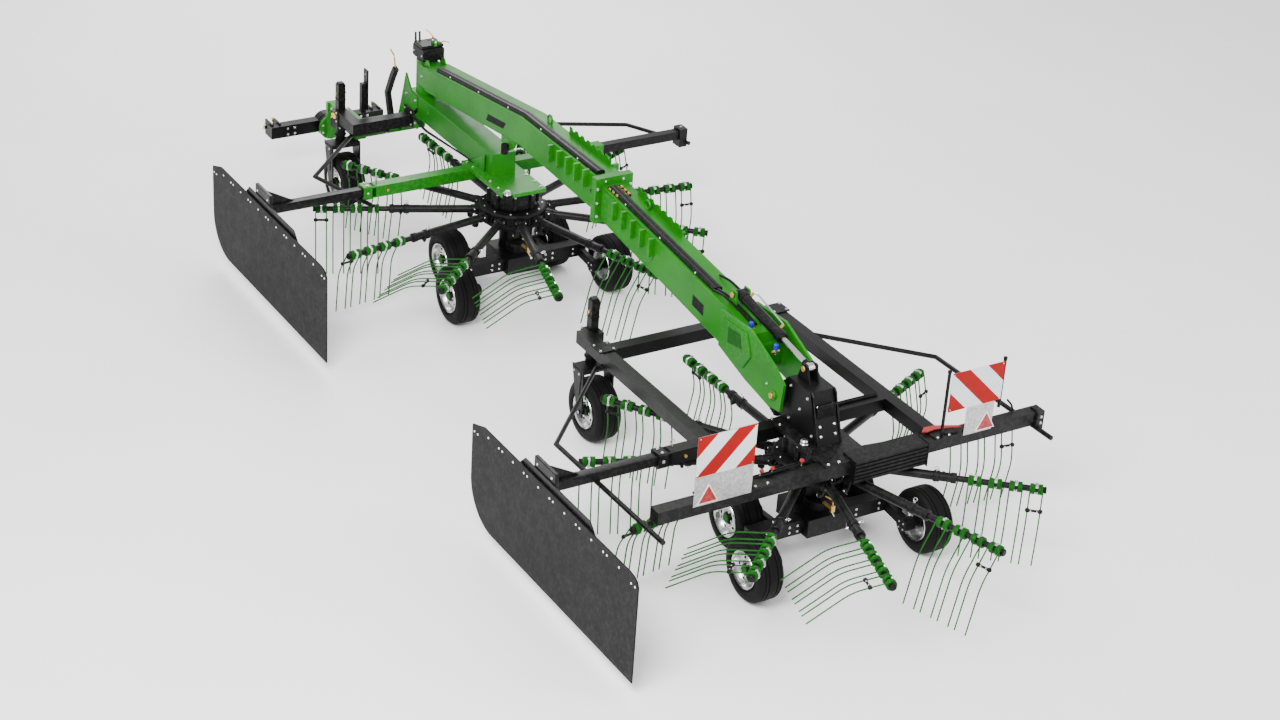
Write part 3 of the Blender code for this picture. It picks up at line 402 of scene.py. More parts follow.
def block(size, middle, edge=0.003):
    """A box with every edge chamfered."""
    half = Vector(size) / 2
    edge = min(edge, min(half) * 0.45)
    points = []
    at = {}
    signs = [(a, b, c) for a in (-1, 1) for b in (-1, 1) for c in (-1, 1)]
    for sign in signs:
        for axis in range(3):
            place = [sign[other] * (half[other] - (0.0 if other == axis else edge)) for other in range(3)]
            at[sign, axis] = len(points)
            points.append(Vector(place) + Vector(middle))
    faces = [[at[sign, 0], at[sign, 1], at[sign, 2]] for sign in signs]
    for axis in range(3):
        one, two = (axis + 1) % 3, (axis + 2) % 3
        for side in (-1, 1):
            corners = []
            for a, b in ((-1, -1), (1, -1), (1, 1), (-1, 1)):
                sign = [side, side, side]
                sign[one] = a
                sign[two] = b
                corners.append(tuple(sign))
            faces.append([at[corner, axis] for corner in corners])
            for other in (-1, 1):
                low = [0, 0, 0]
                low[axis] = -1
                low[one] = side
                low[two] = other
                high = list(low)
                high[axis] = 1
                low, high = tuple(low), tuple(high)
                faces.append([at[low, one], at[high, one], at[high, two], at[low, two]])
    centre = Vector(middle)
    for face in faces:
        normal = (points[face[1]] - points[face[0]]).cross(points[face[2]] - points[face[0]])
        if normal.dot(points[face[0]] - centre) < 0:
            face.reverse()
    return points, faces


def hollow_bar(outer, wall, start, end, edge=0.008):
    """A square tube along X with an open mouth at its start."""
    half = outer / 2

    def loop(reach, x):
        corner = min(edge, reach * 0.3)
        inner = reach - corner
        spots = ((inner, reach), (-inner, reach), (-reach, inner), (-reach, -inner),
                 (-inner, -reach), (inner, -reach), (reach, -inner), (reach, inner))
        return [(x, y, z) for y, z in spots]
    return loft([loop(half - wall, start + 0.10), loop(half - wall, start), loop(half, start), loop(half, end)])


# ---------------------------------------------------------------- pieces
class Piece:
    """A piece of the looks: shapes with their finishes, gathered in one mesh."""

    def __init__(self, name):
        self.name = name
        self.points = []
        self.faces = []
        self.finish_of = []
        self.finishes = []

    def add(self, shape, finish, at=None):
        points, faces = moved(shape, at) if at is not None else shape
        if finish not in self.finishes:
            self.finishes.append(finish)
        start = len(self.points)
        self.points += points
        self.faces += [[start + index for index in face] for face in faces]
        self.finish_of += [self.finishes.index(finish)] * len(faces)

    def bolt(self, place, axis, size=0.010, finish=None):
        """A washer, a hexagon head and the end of the thread, facing the axis."""
        turn = facing(axis, place)
        finish = finish or STEEL
        self.add(drum(size * 1.15, -0.001, size * 0.22, size * 0.06, 16), finish, turn)
        self.add(drum(size * 0.95, size * 0.20, size * 0.80, size * 0.14, 6), finish, turn)
        self.add(drum(size * 0.48, size * 0.60, size * 1.05, size * 0.12, 10), finish, turn)

    def dome(self, place, axis, size=0.009, finish=None):
        """A round-headed bolt."""
        profile = ((0.0, -0.001), (size, -0.001), (size, size * 0.12), (size * 0.82, size * 0.42),
                   (size * 0.45, size * 0.62), (0.0, size * 0.68))
        self.add(lathe(profile, 14), finish or STEEL, facing(axis, place))

    def mesh(self):
        made = bpy.data.meshes.new(self.name)
        made.from_pydata(self.points, [], self.faces)
        for finish in self.finishes:
            made.materials.append(finish)
        made.polygons.foreach_set("material_index", self.finish_of)
        made.polygons.foreach_set("use_smooth", [True] * len(self.faces))
        made.set_sharp_from_angle(angle=math.radians(32.0))
        made.update()
        return made

    def stand(self, body, *nodes):
        """Puts the piece in place, riding on a body, and hides the nodes that it stands for."""
        return put(self.name, self.mesh(), Matrix.Translation(SHIFT), body, *nodes)


def put(name, mesh, matrix, body, *nodes):
    made = bpy.data.objects.new(name, mesh)
    made.matrix_world = matrix
    bpy.context.scene.collection.objects.link(made)
    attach(made, body)
    if nodes:
        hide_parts(*nodes)
    return made


# ---------------------------------------------------------------- tine arms
ARM_COUNT = 11
FIRST_ARM = math.radians(-138.0)
ARM_ROOT = 0.9303
ARM_TIP = 1.50
COIL_R = 0.0315
COIL_WIRE = 0.0050
PRONG_WIRE = 0.0047
PRONG_UPPER = 0.25
PRONG_LOWER = 0.33


def prong_path(x):
    """From the coil's underside down to the knee, then leading to the tip."""
    lean_up = math.radians(20.0)
    lean_down = math.radians(-11.0)
    knee = Vector((x, 0.0, 0.0)) + PRONG_UPPER * Vector((0.0, -math.sin(lean_up), -math.cos(lean_up)))
    tip = knee + PRONG_LOWER * Vector((0.0, -math.sin(lean_down), -math.cos(lean_down)))
    return rounded(((x, -COIL_R, 0.0), knee, tip), 0.07, 6)


def tine_arm():
    arm = Piece("tine_arm")
    arm.add(moved(drum(0.021, ARM_ROOT, ARM_TIP - 0.012, 0.002, 24), facing(X)), BLACK)
    arm.add(moved(drum(0.024, ARM_TIP - 0.014, ARM_TIP, 0.004, 24), facing(X)), CAST)
    for coil in range(4):
        middle = 1.437 - coil * 0.130
        for side in (-1, 1):
            inner = middle + side * 0.012
            outer = middle + side * 0.0405
            helix = []
            for step in range(49):
                share = step / 48
                angle = math.pi + side * share * math.tau * 3.25
                helix.append((outer + (inner - outer) * share, COIL_R * math.cos(angle),
                              COIL_R * math.sin(angle)))
            arm.add(sweep(helix, COIL_WIRE, 6), TINE_GREEN)
            arm.add(moved(drum(0.0275, min(inner, outer), max(inner, outer), 0.002, 16), facing(X)), TINE_GREEN)
            arm.add(sweep(prong_path(outer), PRONG_WIRE, 7), TINE_GREEN)
        arm.add(block((0.020, 0.052, 0.018), (middle, 0.0, 0.026), 0.003), STEEL)
        arm.add(block((0.016, 0.016, 0.058), (middle, 0.024, 0.002), 0.003), STEEL)
        arm.add(rod((middle, 0.0, 0.030), (middle, 0.0, -0.036), 0.0055, 8), STEEL)
        arm.bolt((middle, 0.0, 0.034), Z, 0.007)
        arm.bolt((middle, 0.0, -0.030), -Z, 0.007)
    # The outermost pair of prongs is held together by a clip.
    drop = -0.125
    aside = -COIL_R - math.tan(math.radians(15.0)) * 0.12
    arm.add(block((0.112, 0.014, 0.016), (1.437, aside, drop), 0.004), CAST)
    for side in (-1, 1):
        arm.add(block((0.026, 0.022, 0.026), (1.437 + side * 0.0405, aside, drop), 0.005), CAST)
        arm.dome((1.437 + side * 0.020, aside - 0.007, drop), -Y, 0.005)
    return arm.mesh()


def lift_of(angle):
    """How far the cam turns an arm that stands at this angle."""
    share = (angle - math.radians(-178.0)) / math.radians(118.0)
    if share <= 0.0 or share >= 1.0:
        return 0.0
    return math.radians(66.0) * min(1.0, 4.0 * share, 4.0 * (1.0 - share))


def arm_angles():
    for arm in range(ARM_COUNT):
        angle = FIRST_ARM + math.tau * arm / ARM_COUNT
        wrapped = (angle + math.pi) % math.tau - math.pi
        yield arm, angle, lift_of(wrapped)


def tine_arms():
    mesh = tine_arm()
    for unit, y0 in UNITS:
        middle = Matrix.Translation(SHIFT + Vector((0.0, y0, ARM_Z)))
        for arm, angle, lift in arm_angles():
            turn = Matrix.Rotation(angle, 4, "Z") @ Matrix.Rotation(-lift, 4, "X")
            put(f"{unit}_tines_{arm + 1:02d}", mesh, middle @ turn, f"{unit}_rotor",
                f"{unit}_tine_arm_{arm + 1:02d}")


# ---------------------------------------------------------------- rotor hubs
HUB_PROFILE = (
    (0.106, 0.531), (0.205, 0.531), (0.215, 0.540), (0.215, 0.556), (0.250, 0.566), (0.258, 0.574),
    (0.258, 0.594), (0.248, 0.600), (0.248, 0.650), (0.258, 0.656), (0.258, 0.668), (0.246, 0.679),
    (0.190, 0.679), (0.184, 0.672), (0.150, 0.672), (0.144, 0.679), (0.106, 0.679))


def rotor_hub(unit, y0):
    """The turning drum, a bearing sleeve for each arm and the cam lever under each sleeve."""
    hub = Piece(f"{unit}_hub")
    hub.add(lathe(HUB_PROFILE, 48, closed=True), CAST, Matrix.Translation((0.0, y0, 0.0)))
    for arm, angle, lift in arm_angles():
        turn = Matrix.Translation((0.0, y0, ARM_Z)) @ Matrix.Rotation(angle, 4, "Z")
        between = Matrix.Translation((0.0, y0, 0.0)) @ Matrix.Rotation(angle + math.pi / ARM_COUNT, 4, "Z")
        hub.add(moved(drum(0.036, 0.235, 0.315, 0.004, 20), facing(X)), CAST, turn)
        hub.add(moved(drum(0.0305, 0.30, 0.905, 0.002, 20), facing(X)), BLACK, turn)
        hub.add(moved(drum(0.0350, 0.893, 0.930, 0.003, 20), facing(X)), CAST, turn)
        hub.add(block((0.030, 0.092, 0.056), (0.272, 0.0, 0.0), 0.006), CAST, turn)
        for side in (-1, 1):
            hub.add(*bolt_parts((0.287, side * 0.035, 0.012), X, 0.007), turn)
        # A cross pin through the sleeve's end, its ring and a small lever.
        twist = turn @ Matrix.Rotation(-lift, 4, "X")
        hub.add(rod((0.80, 0.0, -0.052), (0.80, 0.0, 0.050), 0.0065, 10), STEEL, twist)
        hub.add(ring((0.80, 0.0, 0.056), Y, 0.013, 0.0025, 16, 6), STEEL, twist)
        hub.add(moved(drum(0.037, 0.780, 0.822, 0.004, 20), facing(X)), CAST, twist)
        hub.add(block((0.022, 0.060, 0.022), (0.845, 0.024, -0.010), 0.004), CAST, twist)
        hub.add(rod((0.845, 0.046, -0.024), (0.845, 0.046, 0.010), 0.009, 12), CAST, twist)
        # The lever that follows the cam.
        hub.add(side_on_lever(), CAST, turn)
        hub.add(moved(drum(0.020, -0.014, 0.014, 0.003, 16), facing(Y, (0.318, -0.048, -0.068))), CAST, turn)
        hub.add(moved(drum(0.009, -0.018, 0.018, 0.002, 12), facing(Y, (0.318, -0.048, -0.068))), STEEL, turn)
        hub.add(block((0.10, 0.012, 0.045), (0.300, 0.0, 0.0), 0.003), CAST,
                between @ Matrix.Translation((-0.085, 0.0, 0.625)))
        hub.bolt(between @ Vector((0.225, 0.0, 0.679)), Z, 0.008)
    hub.stand(f"{unit}_rotor", f"{unit}_rotor_hub")


def bolt_parts(place, axis, size):
    """A plain bolt head as a shape with its finish."""
    head = lathe(((0.0, -0.001), (size, -0.001), (size, size * 0.5), (size * 0.85, size * 0.65),
                  (0.0, size * 0.65)), 6)
    return moved(head, facing(axis, place)), STEEL


def side_on_lever():
    outline = ((-0.028, 0.012), (0.020, 0.020), (0.030, 0.0), (0.012, -0.078), (-0.010, -0.088), (-0.024, -0.074))
    flat = slab(outline, 0.014, 0.003)
    return moved(flat, Matrix.Translation((0.318, -0.030, 0.0)) @ Matrix.Rotation(math.pi / 2, 4, "X"))


# ---------------------------------------------------------------- wheels
def tyre_profile(radius, width):
    """Section of the tyre: beads, bulging side walls, shoulders and shallow grooves round the tread."""
    half = width / 2
    right = [(0.122, half * 0.60), (0.130, half * 0.84), (0.146, half * 0.96), (radius * 0.74, half * 0.985),
             (radius * 0.84, half * 0.96), (radius * 0.92, half * 0.89), (radius * 0.965, half * 0.78)]
    tread = []
    for groove in (0.62, 0.34, 0.06):
        tread += [(radius * (0.995 - 0.03 * groove ** 3), half * (groove + 0.05)),
                  (radius * 0.968, half * (groove + 0.03)), (radius * 0.968, half * (groove - 0.03)),
                  (radius * (0.996 - 0.03 * groove ** 3), half * (groove - 0.05))]
    tread = tread[:-3]
    one_side = right + tread
    other = [(place, -across) for place, across in reversed(one_side)]
    return one_side + other


def wheel(name, radius, width, middle, side, body, node):
    """A smooth flotation tyre on a bright rim; the bolts face outward, away from the machine's middle."""
    made = Piece(name)
    turn = facing(X * side, middle)
    made.add(lathe(tyre_profile(radius - 0.0035, width)[::-1], 72, closed=True), RUBBER, turn)
    for rise in (0.142, 0.150):
        made.add(lathe(((rise, width * 0.484), (rise + 0.003, width * 0.492), (rise + 0.006, width * 0.484)),
                       72, closed=True), RUBBER, turn)
    half = width / 2
    rim = ((0.1235, half * 0.88), (0.129, half * 0.93), (0.126, half * 0.98), (0.116, half * 0.90),
           (0.110, half * 0.60), (0.100, half * 0.48), (0.092, half * 0.62), (0.060, half * 0.70),
           (0.052, half * 0.62), (0.020, half * 0.62), (0.020, half * 0.48), (0.060, half * 0.52),
           (0.088, half * 0.44), (0.100, half * 0.30), (0.108, -half * 0.60), (0.116, -half * 0.90),
           (0.126, -half * 0.98), (0.129, -half * 0.93), (0.1235, -half * 0.88), (0.116, 0.0))
    made.add(lathe(rim[::-1], 48, closed=True), STEEL, turn)
    made.add(lathe(((0.0165, -0.050), (0.042, -0.050), (0.042, half * 0.55), (0.038, half * 0.80),
                    (0.028, half * 0.86), (0.0165, half * 0.86)), 28, closed=True), CAST, turn)
    made.add(drum(0.030, half * 0.80, min(half * 0.93, 0.5 * width), 0.005, 24), TINE_GREEN, turn)
    for step in range(5):
        angle = math.tau * step / 5
        spot = (0.050 * math.cos(angle), 0.050 * math.sin(angle), half * 0.60)
        made.add(drum(0.008, 0.0, 0.016, 0.002, 6), STEEL, turn @ Matrix.Translation(spot))
        angle += math.pi / 5
        spot = (0.078 * math.cos(angle), 0.078 * math.sin(angle), half * 0.655)
        made.add(drum(0.010, -0.004, 0.0035, 0.002, 16), CAST, turn @ Matrix.Translation(spot))
    valve = turn @ Matrix.Translation((0.104, 0.0, half * 0.46))
    made.add(drum(0.0035, 0.0, 0.028, 0.001, 8), CAST, valve)
    made.stand(body, node)


WHEELS = (("wheel_rear_left", -1, 0.655, -0.40), ("wheel_rear_right", 1, 0.655, -0.40),
          ("wheel_front_left", -1, 0.435, 0.16), ("wheel_front_right", 1, 0.435, 0.16))
CASTOR_X = -0.58
CASTOR_Y = 1.83


def wheels(unit, y0):
    for name, side, x, y in WHEELS:
        node_name = f"{unit}_{name}"
        wheel(f"{node_name}_looks", 0.225, 0.185, (side * x, y0 + y, 0.225), side, node_name, node_name)
    name = f"{unit}_castor_wheel"
    wheel(f"{name}_looks", 0.23, 0.20, (CASTOR_X, y0 + CASTOR_Y - 0.09, 0.23), -1, name, name)


# ---------------------------------------------------------------- warning boards
BAR_Y = -0.35


def warning_board(name, side):
    """A striped panel over a zinc plate with a red reflector, between two posts on the rear bar."""
    made = Piece(f"{name}_looks")
    x = side * 0.945
    face_y = BAR_Y - 0.045 - 0.0043
    low = x - 0.21
    high = x + 0.21
    stripes = striped(f"{name}_stripes", low if side < 0 else high, 1.00 - 0.28, -side)
    made.add(block((0.42, 0.003, 0.28), (x, face_y - 0.0003, 1.14), 0.0008), stripes)
    # The zinc plate backs the panel and hangs below it.
    start = low if side < 0 else low + 0.37 * 0.42
    end = high if side < 0 else low + 0.90 * 0.42
    made.add(block((end - start, 0.0025, 0.30), ((start + end) / 2, face_y + 0.0030, 0.94), 0.0006), ZINC)
    made.add(block((0.418, 0.0025, 0.278), (x, face_y + 0.0028, 1.14), 0.0006), ZINC)
    for across in (-0.195, 0.195):
        for z in (1.014, 1.266):
            made.dome((x + across, face_y - 0.0018, z), -Y, 0.0045)
    middle = low + (0.24 if side < 0 else 0.77) * 0.42
    base = 0.802
    triangle = ((middle - 0.078, base), (middle + 0.078, base), (middle, base + 0.136))
    made.add(end_slab(triangle, 0.004, face_y - 0.0005, 0.001), WHITE)
    inner = ((middle - 0.066, base + 0.007), (middle + 0.066, base + 0.007), (middle, base + 0.122))
    made.add(end_slab(inner, 0.0035, face_y - 0.0022, 0.001), RED)
    posts = ((low - 0.012, 1.285), (high + 0.012, 1.285)) if side > 0 else ((x, 1.22),)
    for post_x, top in posts:
        foot = 0.79 if side < 0 or post_x < x else 0.93
        made.add(rod((post_x, face_y + 0.018, foot), (post_x, face_y + 0.018, top), 0.011, 12), BLACK)
        made.add(rod((post_x, face_y + 0.018, top - 0.004), (post_x, face_y + 0.018, top + 0.014), 0.014, 12,
                     0.003), CAST)
    made.add(block((0.40, 0.014, 0.030), (x, face_y + 0.012, 1.02), 0.002), BLACK)
    made.add(block((0.10, 0.020, 0.060), (x, face_y + 0.014, 0.80), 0.002), BLACK)
    made.stand("rear_unit", name)


# ---------------------------------------------------------------- swath boards
BOARD_X = -1.88
BOARD_LOW = 0.100
BOARD_TOP = 0.830


def swath_board(unit, board_y):
    """The sheet with its rows of bolts, the backing plate and the arm's bracket."""
    made = Piece(f"{unit}_board_looks")
    rear = board_y - 1.20
    front = board_y + 0.86
    corner = []
    for step in range(0, 91, 6):
        angle = math.radians(step)
        corner.append((front - 0.30 + 0.30 * math.sin(angle), BOARD_LOW + 0.30 - 0.30 * math.cos(angle)))
    outline = [(rear, BOARD_LOW)] + corner + [
        (front, BOARD_TOP - 0.055), (front - 0.16, BOARD_TOP), (rear + 0.11, BOARD_TOP),
        (rear + 0.055, BOARD_TOP - 0.008), (rear + 0.02, BOARD_TOP - 0.026), (rear, BOARD_TOP - 0.06)]
    made.add(side_slab(outline, 0.010, BOARD_X, 0.002), BOARD)
    # A steel edge holds the sheet along its top; the bolts go through both.
    length = 2.06 - 0.34
    made.add(block((0.006, length, 0.060), (BOARD_X + 0.008, (rear + front) / 2 - 0.03, BOARD_TOP - 0.045),
                   0.0015), BLACK)
    for index in range(13):
        y = rear + 0.055 + index * (2.06 - 0.11) / 12
        pair = (-0.022, 0.022) if index % 2 == 0 else (0.0,)
        for aside in pair:
            edge = BOARD_TOP - 0.045
            if index == 12:
                edge = BOARD_TOP - 0.095
            if index == 0:
                edge = BOARD_TOP - 0.070
            made.dome((BOARD_X - 0.005, y + aside, edge), -X, 0.0075, WHITE)
            made.bolt((BOARD_X + 0.011, y + aside, edge), X, 0.008)
    backing = ((board_y - 0.68, BOARD_TOP - 0.16), (board_y + 0.28, BOARD_TOP - 0.16),
               (board_y + 0.27, BOARD_TOP - 0.02), (board_y + 0.20, BOARD_TOP + 0.048),
               (board_y - 0.60, BOARD_TOP + 0.048), (board_y - 0.67, BOARD_TOP - 0.02))
    made.add(side_slab(backing, 0.008, BOARD_X + 0.016, 0.002), BLACK)
    made.add(block((0.028, 0.26, 0.33), (BOARD_X + 0.034, board_y - 0.03, BOARD_TOP - 0.045), 0.004), BLACK)
    for across in (-0.12, 0.06):
        for z in (BOARD_TOP - 0.03, BOARD_TOP + 0.075):
            made.bolt((BOARD_X + 0.048, board_y + across, z), X, 0.011)
            made.dome((BOARD_X + 0.020, board_y + across, z), -X, 0.010)
    tube = ((0.034, 0.034), (-0.034, 0.034), (-0.034, -0.034), (0.034, -0.034))
    arm = []
    for x in (BOARD_X + 0.045, -0.63):
        arm.append([(x, board_y + y, 0.77 + z) for y, z in rounded_loop(tube, 0.008)])
    made.add(loft(arm), BLACK)
    made.add(end_slab(((-1.83, 0.805), (-1.60, 0.805), (-1.83, 0.93)), 0.010, board_y, 0.002), BLACK)
    made.stand(f"{unit}_swath_board", f"{unit}_swath_board")


def rounded_loop(corners, reach, steps=3):
    """A closed outline with its corners rounded."""
    corners = [Vector(corner) for corner in corners]
    made = []
    for before, here, after in zip(corners[-1:] + corners[:-1], corners, corners[1:] + corners[:1]):
        start = here + (before - here).normalized() * reach
        end = here + (after - here).normalized() * reach
        for step in range(steps + 1):
            share = step / steps
            made.append(start.lerp(here, share).lerp(here.lerp(end, share), share))
    return made


# ---------------------------------------------------------------- gearbox and running gear
def gearbox(unit, y0):
    """The casing over the rotor: lobes, bolts, a bright filler cap and the fitting under the hub."""
    made = Piece(f"{unit}_gearbox_looks")
    at = Matrix.Translation((0.0, y0, 0.0))
    made.add(lathe(((0.0, 0.690), (0.168, 0.690), (0.1745, 0.696), (0.1745, 0.724), (0.165, 0.730),
                    (0.165, 0.762), (0.1745, 0.768), (0.1745, 0.7995), (0.0, 0.7995)), 48), CAST, at)
    for step in range(8):
        angle = math.tau * (step + 0.5) / 8
        turn = at @ Matrix.Rotation(angle, 4, "Z")
        made.add(block((0.036, 0.030, 0.106), (0.182, 0.0, 0.745), 0.006), CAST, turn)
        made.bolt(turn @ Vector((0.186, 0.0, 0.798)), Z, 0.009)
    if unit == "rear":
        side_y = -0.02
        top = 0.8255
    else:
        side_y = -0.10
        top = 0.845
    cap = (-0.145, y0 + side_y - 0.08, top)
    made.add(lathe(((0.0, -0.02), (0.030, -0.02), (0.030, 0.006), (0.026, 0.012), (0.026, 0.026),
                    (0.018, 0.034), (0.0, 0.036)), 24), STEEL, Matrix.Translation(cap))
    made.add(drum(0.038, -0.045, 0.004, 0.003, 20), CAST, Matrix.Translation(cap))
    # Fitting and small cock at the gearbox's underside.
    made.add(drum(0.085, 0.325, 0.400, 0.006, 32), CAST, at @ Matrix.Translation((0.0, -0.10, 0.0)))
    made.add(rod((0.0, y0 - 0.18, 0.40), (0.0, y0 - 0.28, 0.40), 0.013, 12), BRASS)
    made.add(block((0.030, 0.026, 0.046), (0.0, y0 - 0.275, 0.405), 0.004), BRASS)
    made.add(rod((0.0, y0 - 0.275, 0.38), (0.020, y0 - 0.275, 0.345), 0.006, 8), STEEL)
    made.add(sweep(rounded(((0.0, y0 - 0.275, 0.42), (0.0, y0 - 0.275, 0.470), (-0.04, y0 - 0.24, 0.490)), 0.02),
                   0.005, 8), BRASS)
    # Arms of the running gear: bolted plates, bushes and hub flanges.
    for _, side, x, y in WHEELS:
        inside = side * (x - 0.140)
        made.add(drum(0.048, -0.046, 0.046, 0.005, 24), CAST, facing(X, (inside, y0 - 0.14, 0.25)))
        made.add(drum(0.024, -0.054, 0.054, 0.003, 16), STEEL, facing(X, (inside, y0 - 0.14, 0.25)))
        made.add(drum(0.046, -0.042, 0.042, 0.005, 24), CAST, facing(X, (inside, y0 + y, 0.225)))
        for step in range(4):
            angle = math.tau * (step + 0.5) / 4
            spot = (inside - side * 0.042, y0 + y + 0.030 * math.cos(angle), 0.225 + 0.030 * math.sin(angle))
            made.bolt(spot, -X * side, 0.006)
        middle = (y - 0.14) / 2
        for aside in (-0.03, 0.03):
            made.bolt((inside + side * 0.036, y0 + middle + aside, 0.24), X * side, 0.007)
    for side in (-1, 1):
        for across in (0.20, 0.26, 0.44):
            made.bolt((side * across, y0 - 0.192, 0.285), -Y, 0.008)
            made.bolt((side * across, y0 - 0.192, 0.245), -Y, 0.008)
    made.stand(f"{unit}_unit")


# ---------------------------------------------------------------- castors
def castor_post(unit, y0):
    made = Piece(f"{unit}_castor_post_looks")
    y = y0 + CASTOR_Y
    made.add(block((0.068, 0.068, 0.018), (CASTOR_X, y, 0.905), 0.004), CAST)
    made.add(block((0.050, 0.050, 0.016), (CASTOR_X, y, 1.036), 0.003), CAST)
    made.add(moved(drum(1.0, -0.005, 0.006, 0.002, 28), Matrix.Diagonal((0.021, 0.036, 1.0, 1.0))), YELLOW,
             facing(-X, (CASTOR_X - 0.056, y, 0.765)) @ Matrix.Rotation(math.pi / 2, 4, "Z"))
    made.add(rod((CASTOR_X - 0.046, y - 0.01, 0.955), (CASTOR_X + 0.046, y - 0.01, 0.955), 0.007, 10), BRASS)
    made.add(ring((CASTOR_X - 0.050, y - 0.01, 0.943), X, 0.012, 0.002, 14, 6), BRASS)
    for aside in (-0.045, 0.045):
        for z in (0.735, 0.805):
            made.bolt((CASTOR_X - 0.0555, y + aside, z), -X, 0.008)
    for side in (-1, 1):
        for z in (0.700, 0.750):
            made.bolt((CASTOR_X + side * 0.035, y - 0.0655, z - 0.02), -Y, 0.007)
    made.stand(f"{unit}_unit")
    fork = Piece(f"{unit}_fork_looks")
    reach = 0.10 + 0.012 + 0.012
    for side in (-1, 1):
        outward = CASTOR_X + side * reach
        fork.bolt((outward, y - 0.09, 0.23), X * side, 0.012)
        fork.add(side_slab(((y - 0.10, 0.545), (y + 0.02, 0.545), (y - 0.045, 0.33), (y - 0.080, 0.33)), 0.006,
                           outward + side * 0.002, 0.002), BLACK)
        for place in (-0.075, -0.005):
            fork.bolt((outward + side * 0.005, y + place, 0.52), X * side, 0.008)
    fork.add(ring((CASTOR_X, y, 0.600), Z, 0.043, 0.006, 28, 8), CAST)
    fork.stand(f"{unit}_castor")


# ---------------------------------------------------------------- beam
FRONT_TOP = ((5.36, 1.295), (3.80, 1.495), (2.645, 1.485))
REAR_TOP = ((2.615, 1.455), (0.62, 1.245))


def height(line, y):
    for (y1, z1), (y2, z2) in zip(line, line[1:]):
        if y2 <= y <= y1:
            return z1 + (z2 - z1) * (y - y1) / (y2 - y1)
    return line[-1][1]


def hose_cover(name, line, stations, node):
    """A channel with a rolled back, closed by end caps and held by small screws."""
    made = Piece(name)
    half = 0.035
    across = ((half, 0.0005), (half, 0.016), (half - 0.004, 0.023), (half - 0.012, 0.029), (0.004, 0.0295),
              (0.002, 0.026), (-0.002, 0.026), (-0.004, 0.0295), (-half + 0.012, 0.029),
              (-half + 0.004, 0.023), (-half, 0.016), (-half, 0.0005))
    loops = []
    for y in stations:
        base = height(line, y)
        loops.append([(-0.045 + x, y, base + z) for x, z in across])
    made.add(loft(loops), BLACK)
    for first, second in zip(stations, stations[1:]):
        count = max(2, round((first - second) / 0.55))
        for index in range(count):
            y = first + (second - first) * (index + 0.5) / count
            made.dome((-0.0795, y, height(line, y) + 0.011), -X, 0.0065, WHITE)
    made.stand("beam", node)


def comb_plate(start, end, line, x):
    """An upright strip with a scalloped edge and holes' rims, beside the hoses."""
    shapes = []
    count = 7
    outline = []
    low = []
    for index in range(count):
        y = start + (end - start) * index / count
        pitch = (end - start) / count
        base = height(line, y) - 0.02
        outline += [(y, base + 0.082), (y + pitch * 0.40, base + 0.084), (y + pitch * 0.52, base + 0.066),
                    (y + pitch * 0.70, base + 0.059), (y + pitch * 0.88, base + 0.066)]
        low.append((y, base))
        shapes.append(ring((x, y + pitch * 0.25, base + 0.052), X, 0.015, 0.004, 16, 6))
    outline.append((end, height(line, end) + 0.062))
    low.append((end, height(line, end) - 0.02))
    shapes.append(side_slab(outline + low[::-1], 0.006, x, 0.0015))
    return shapes


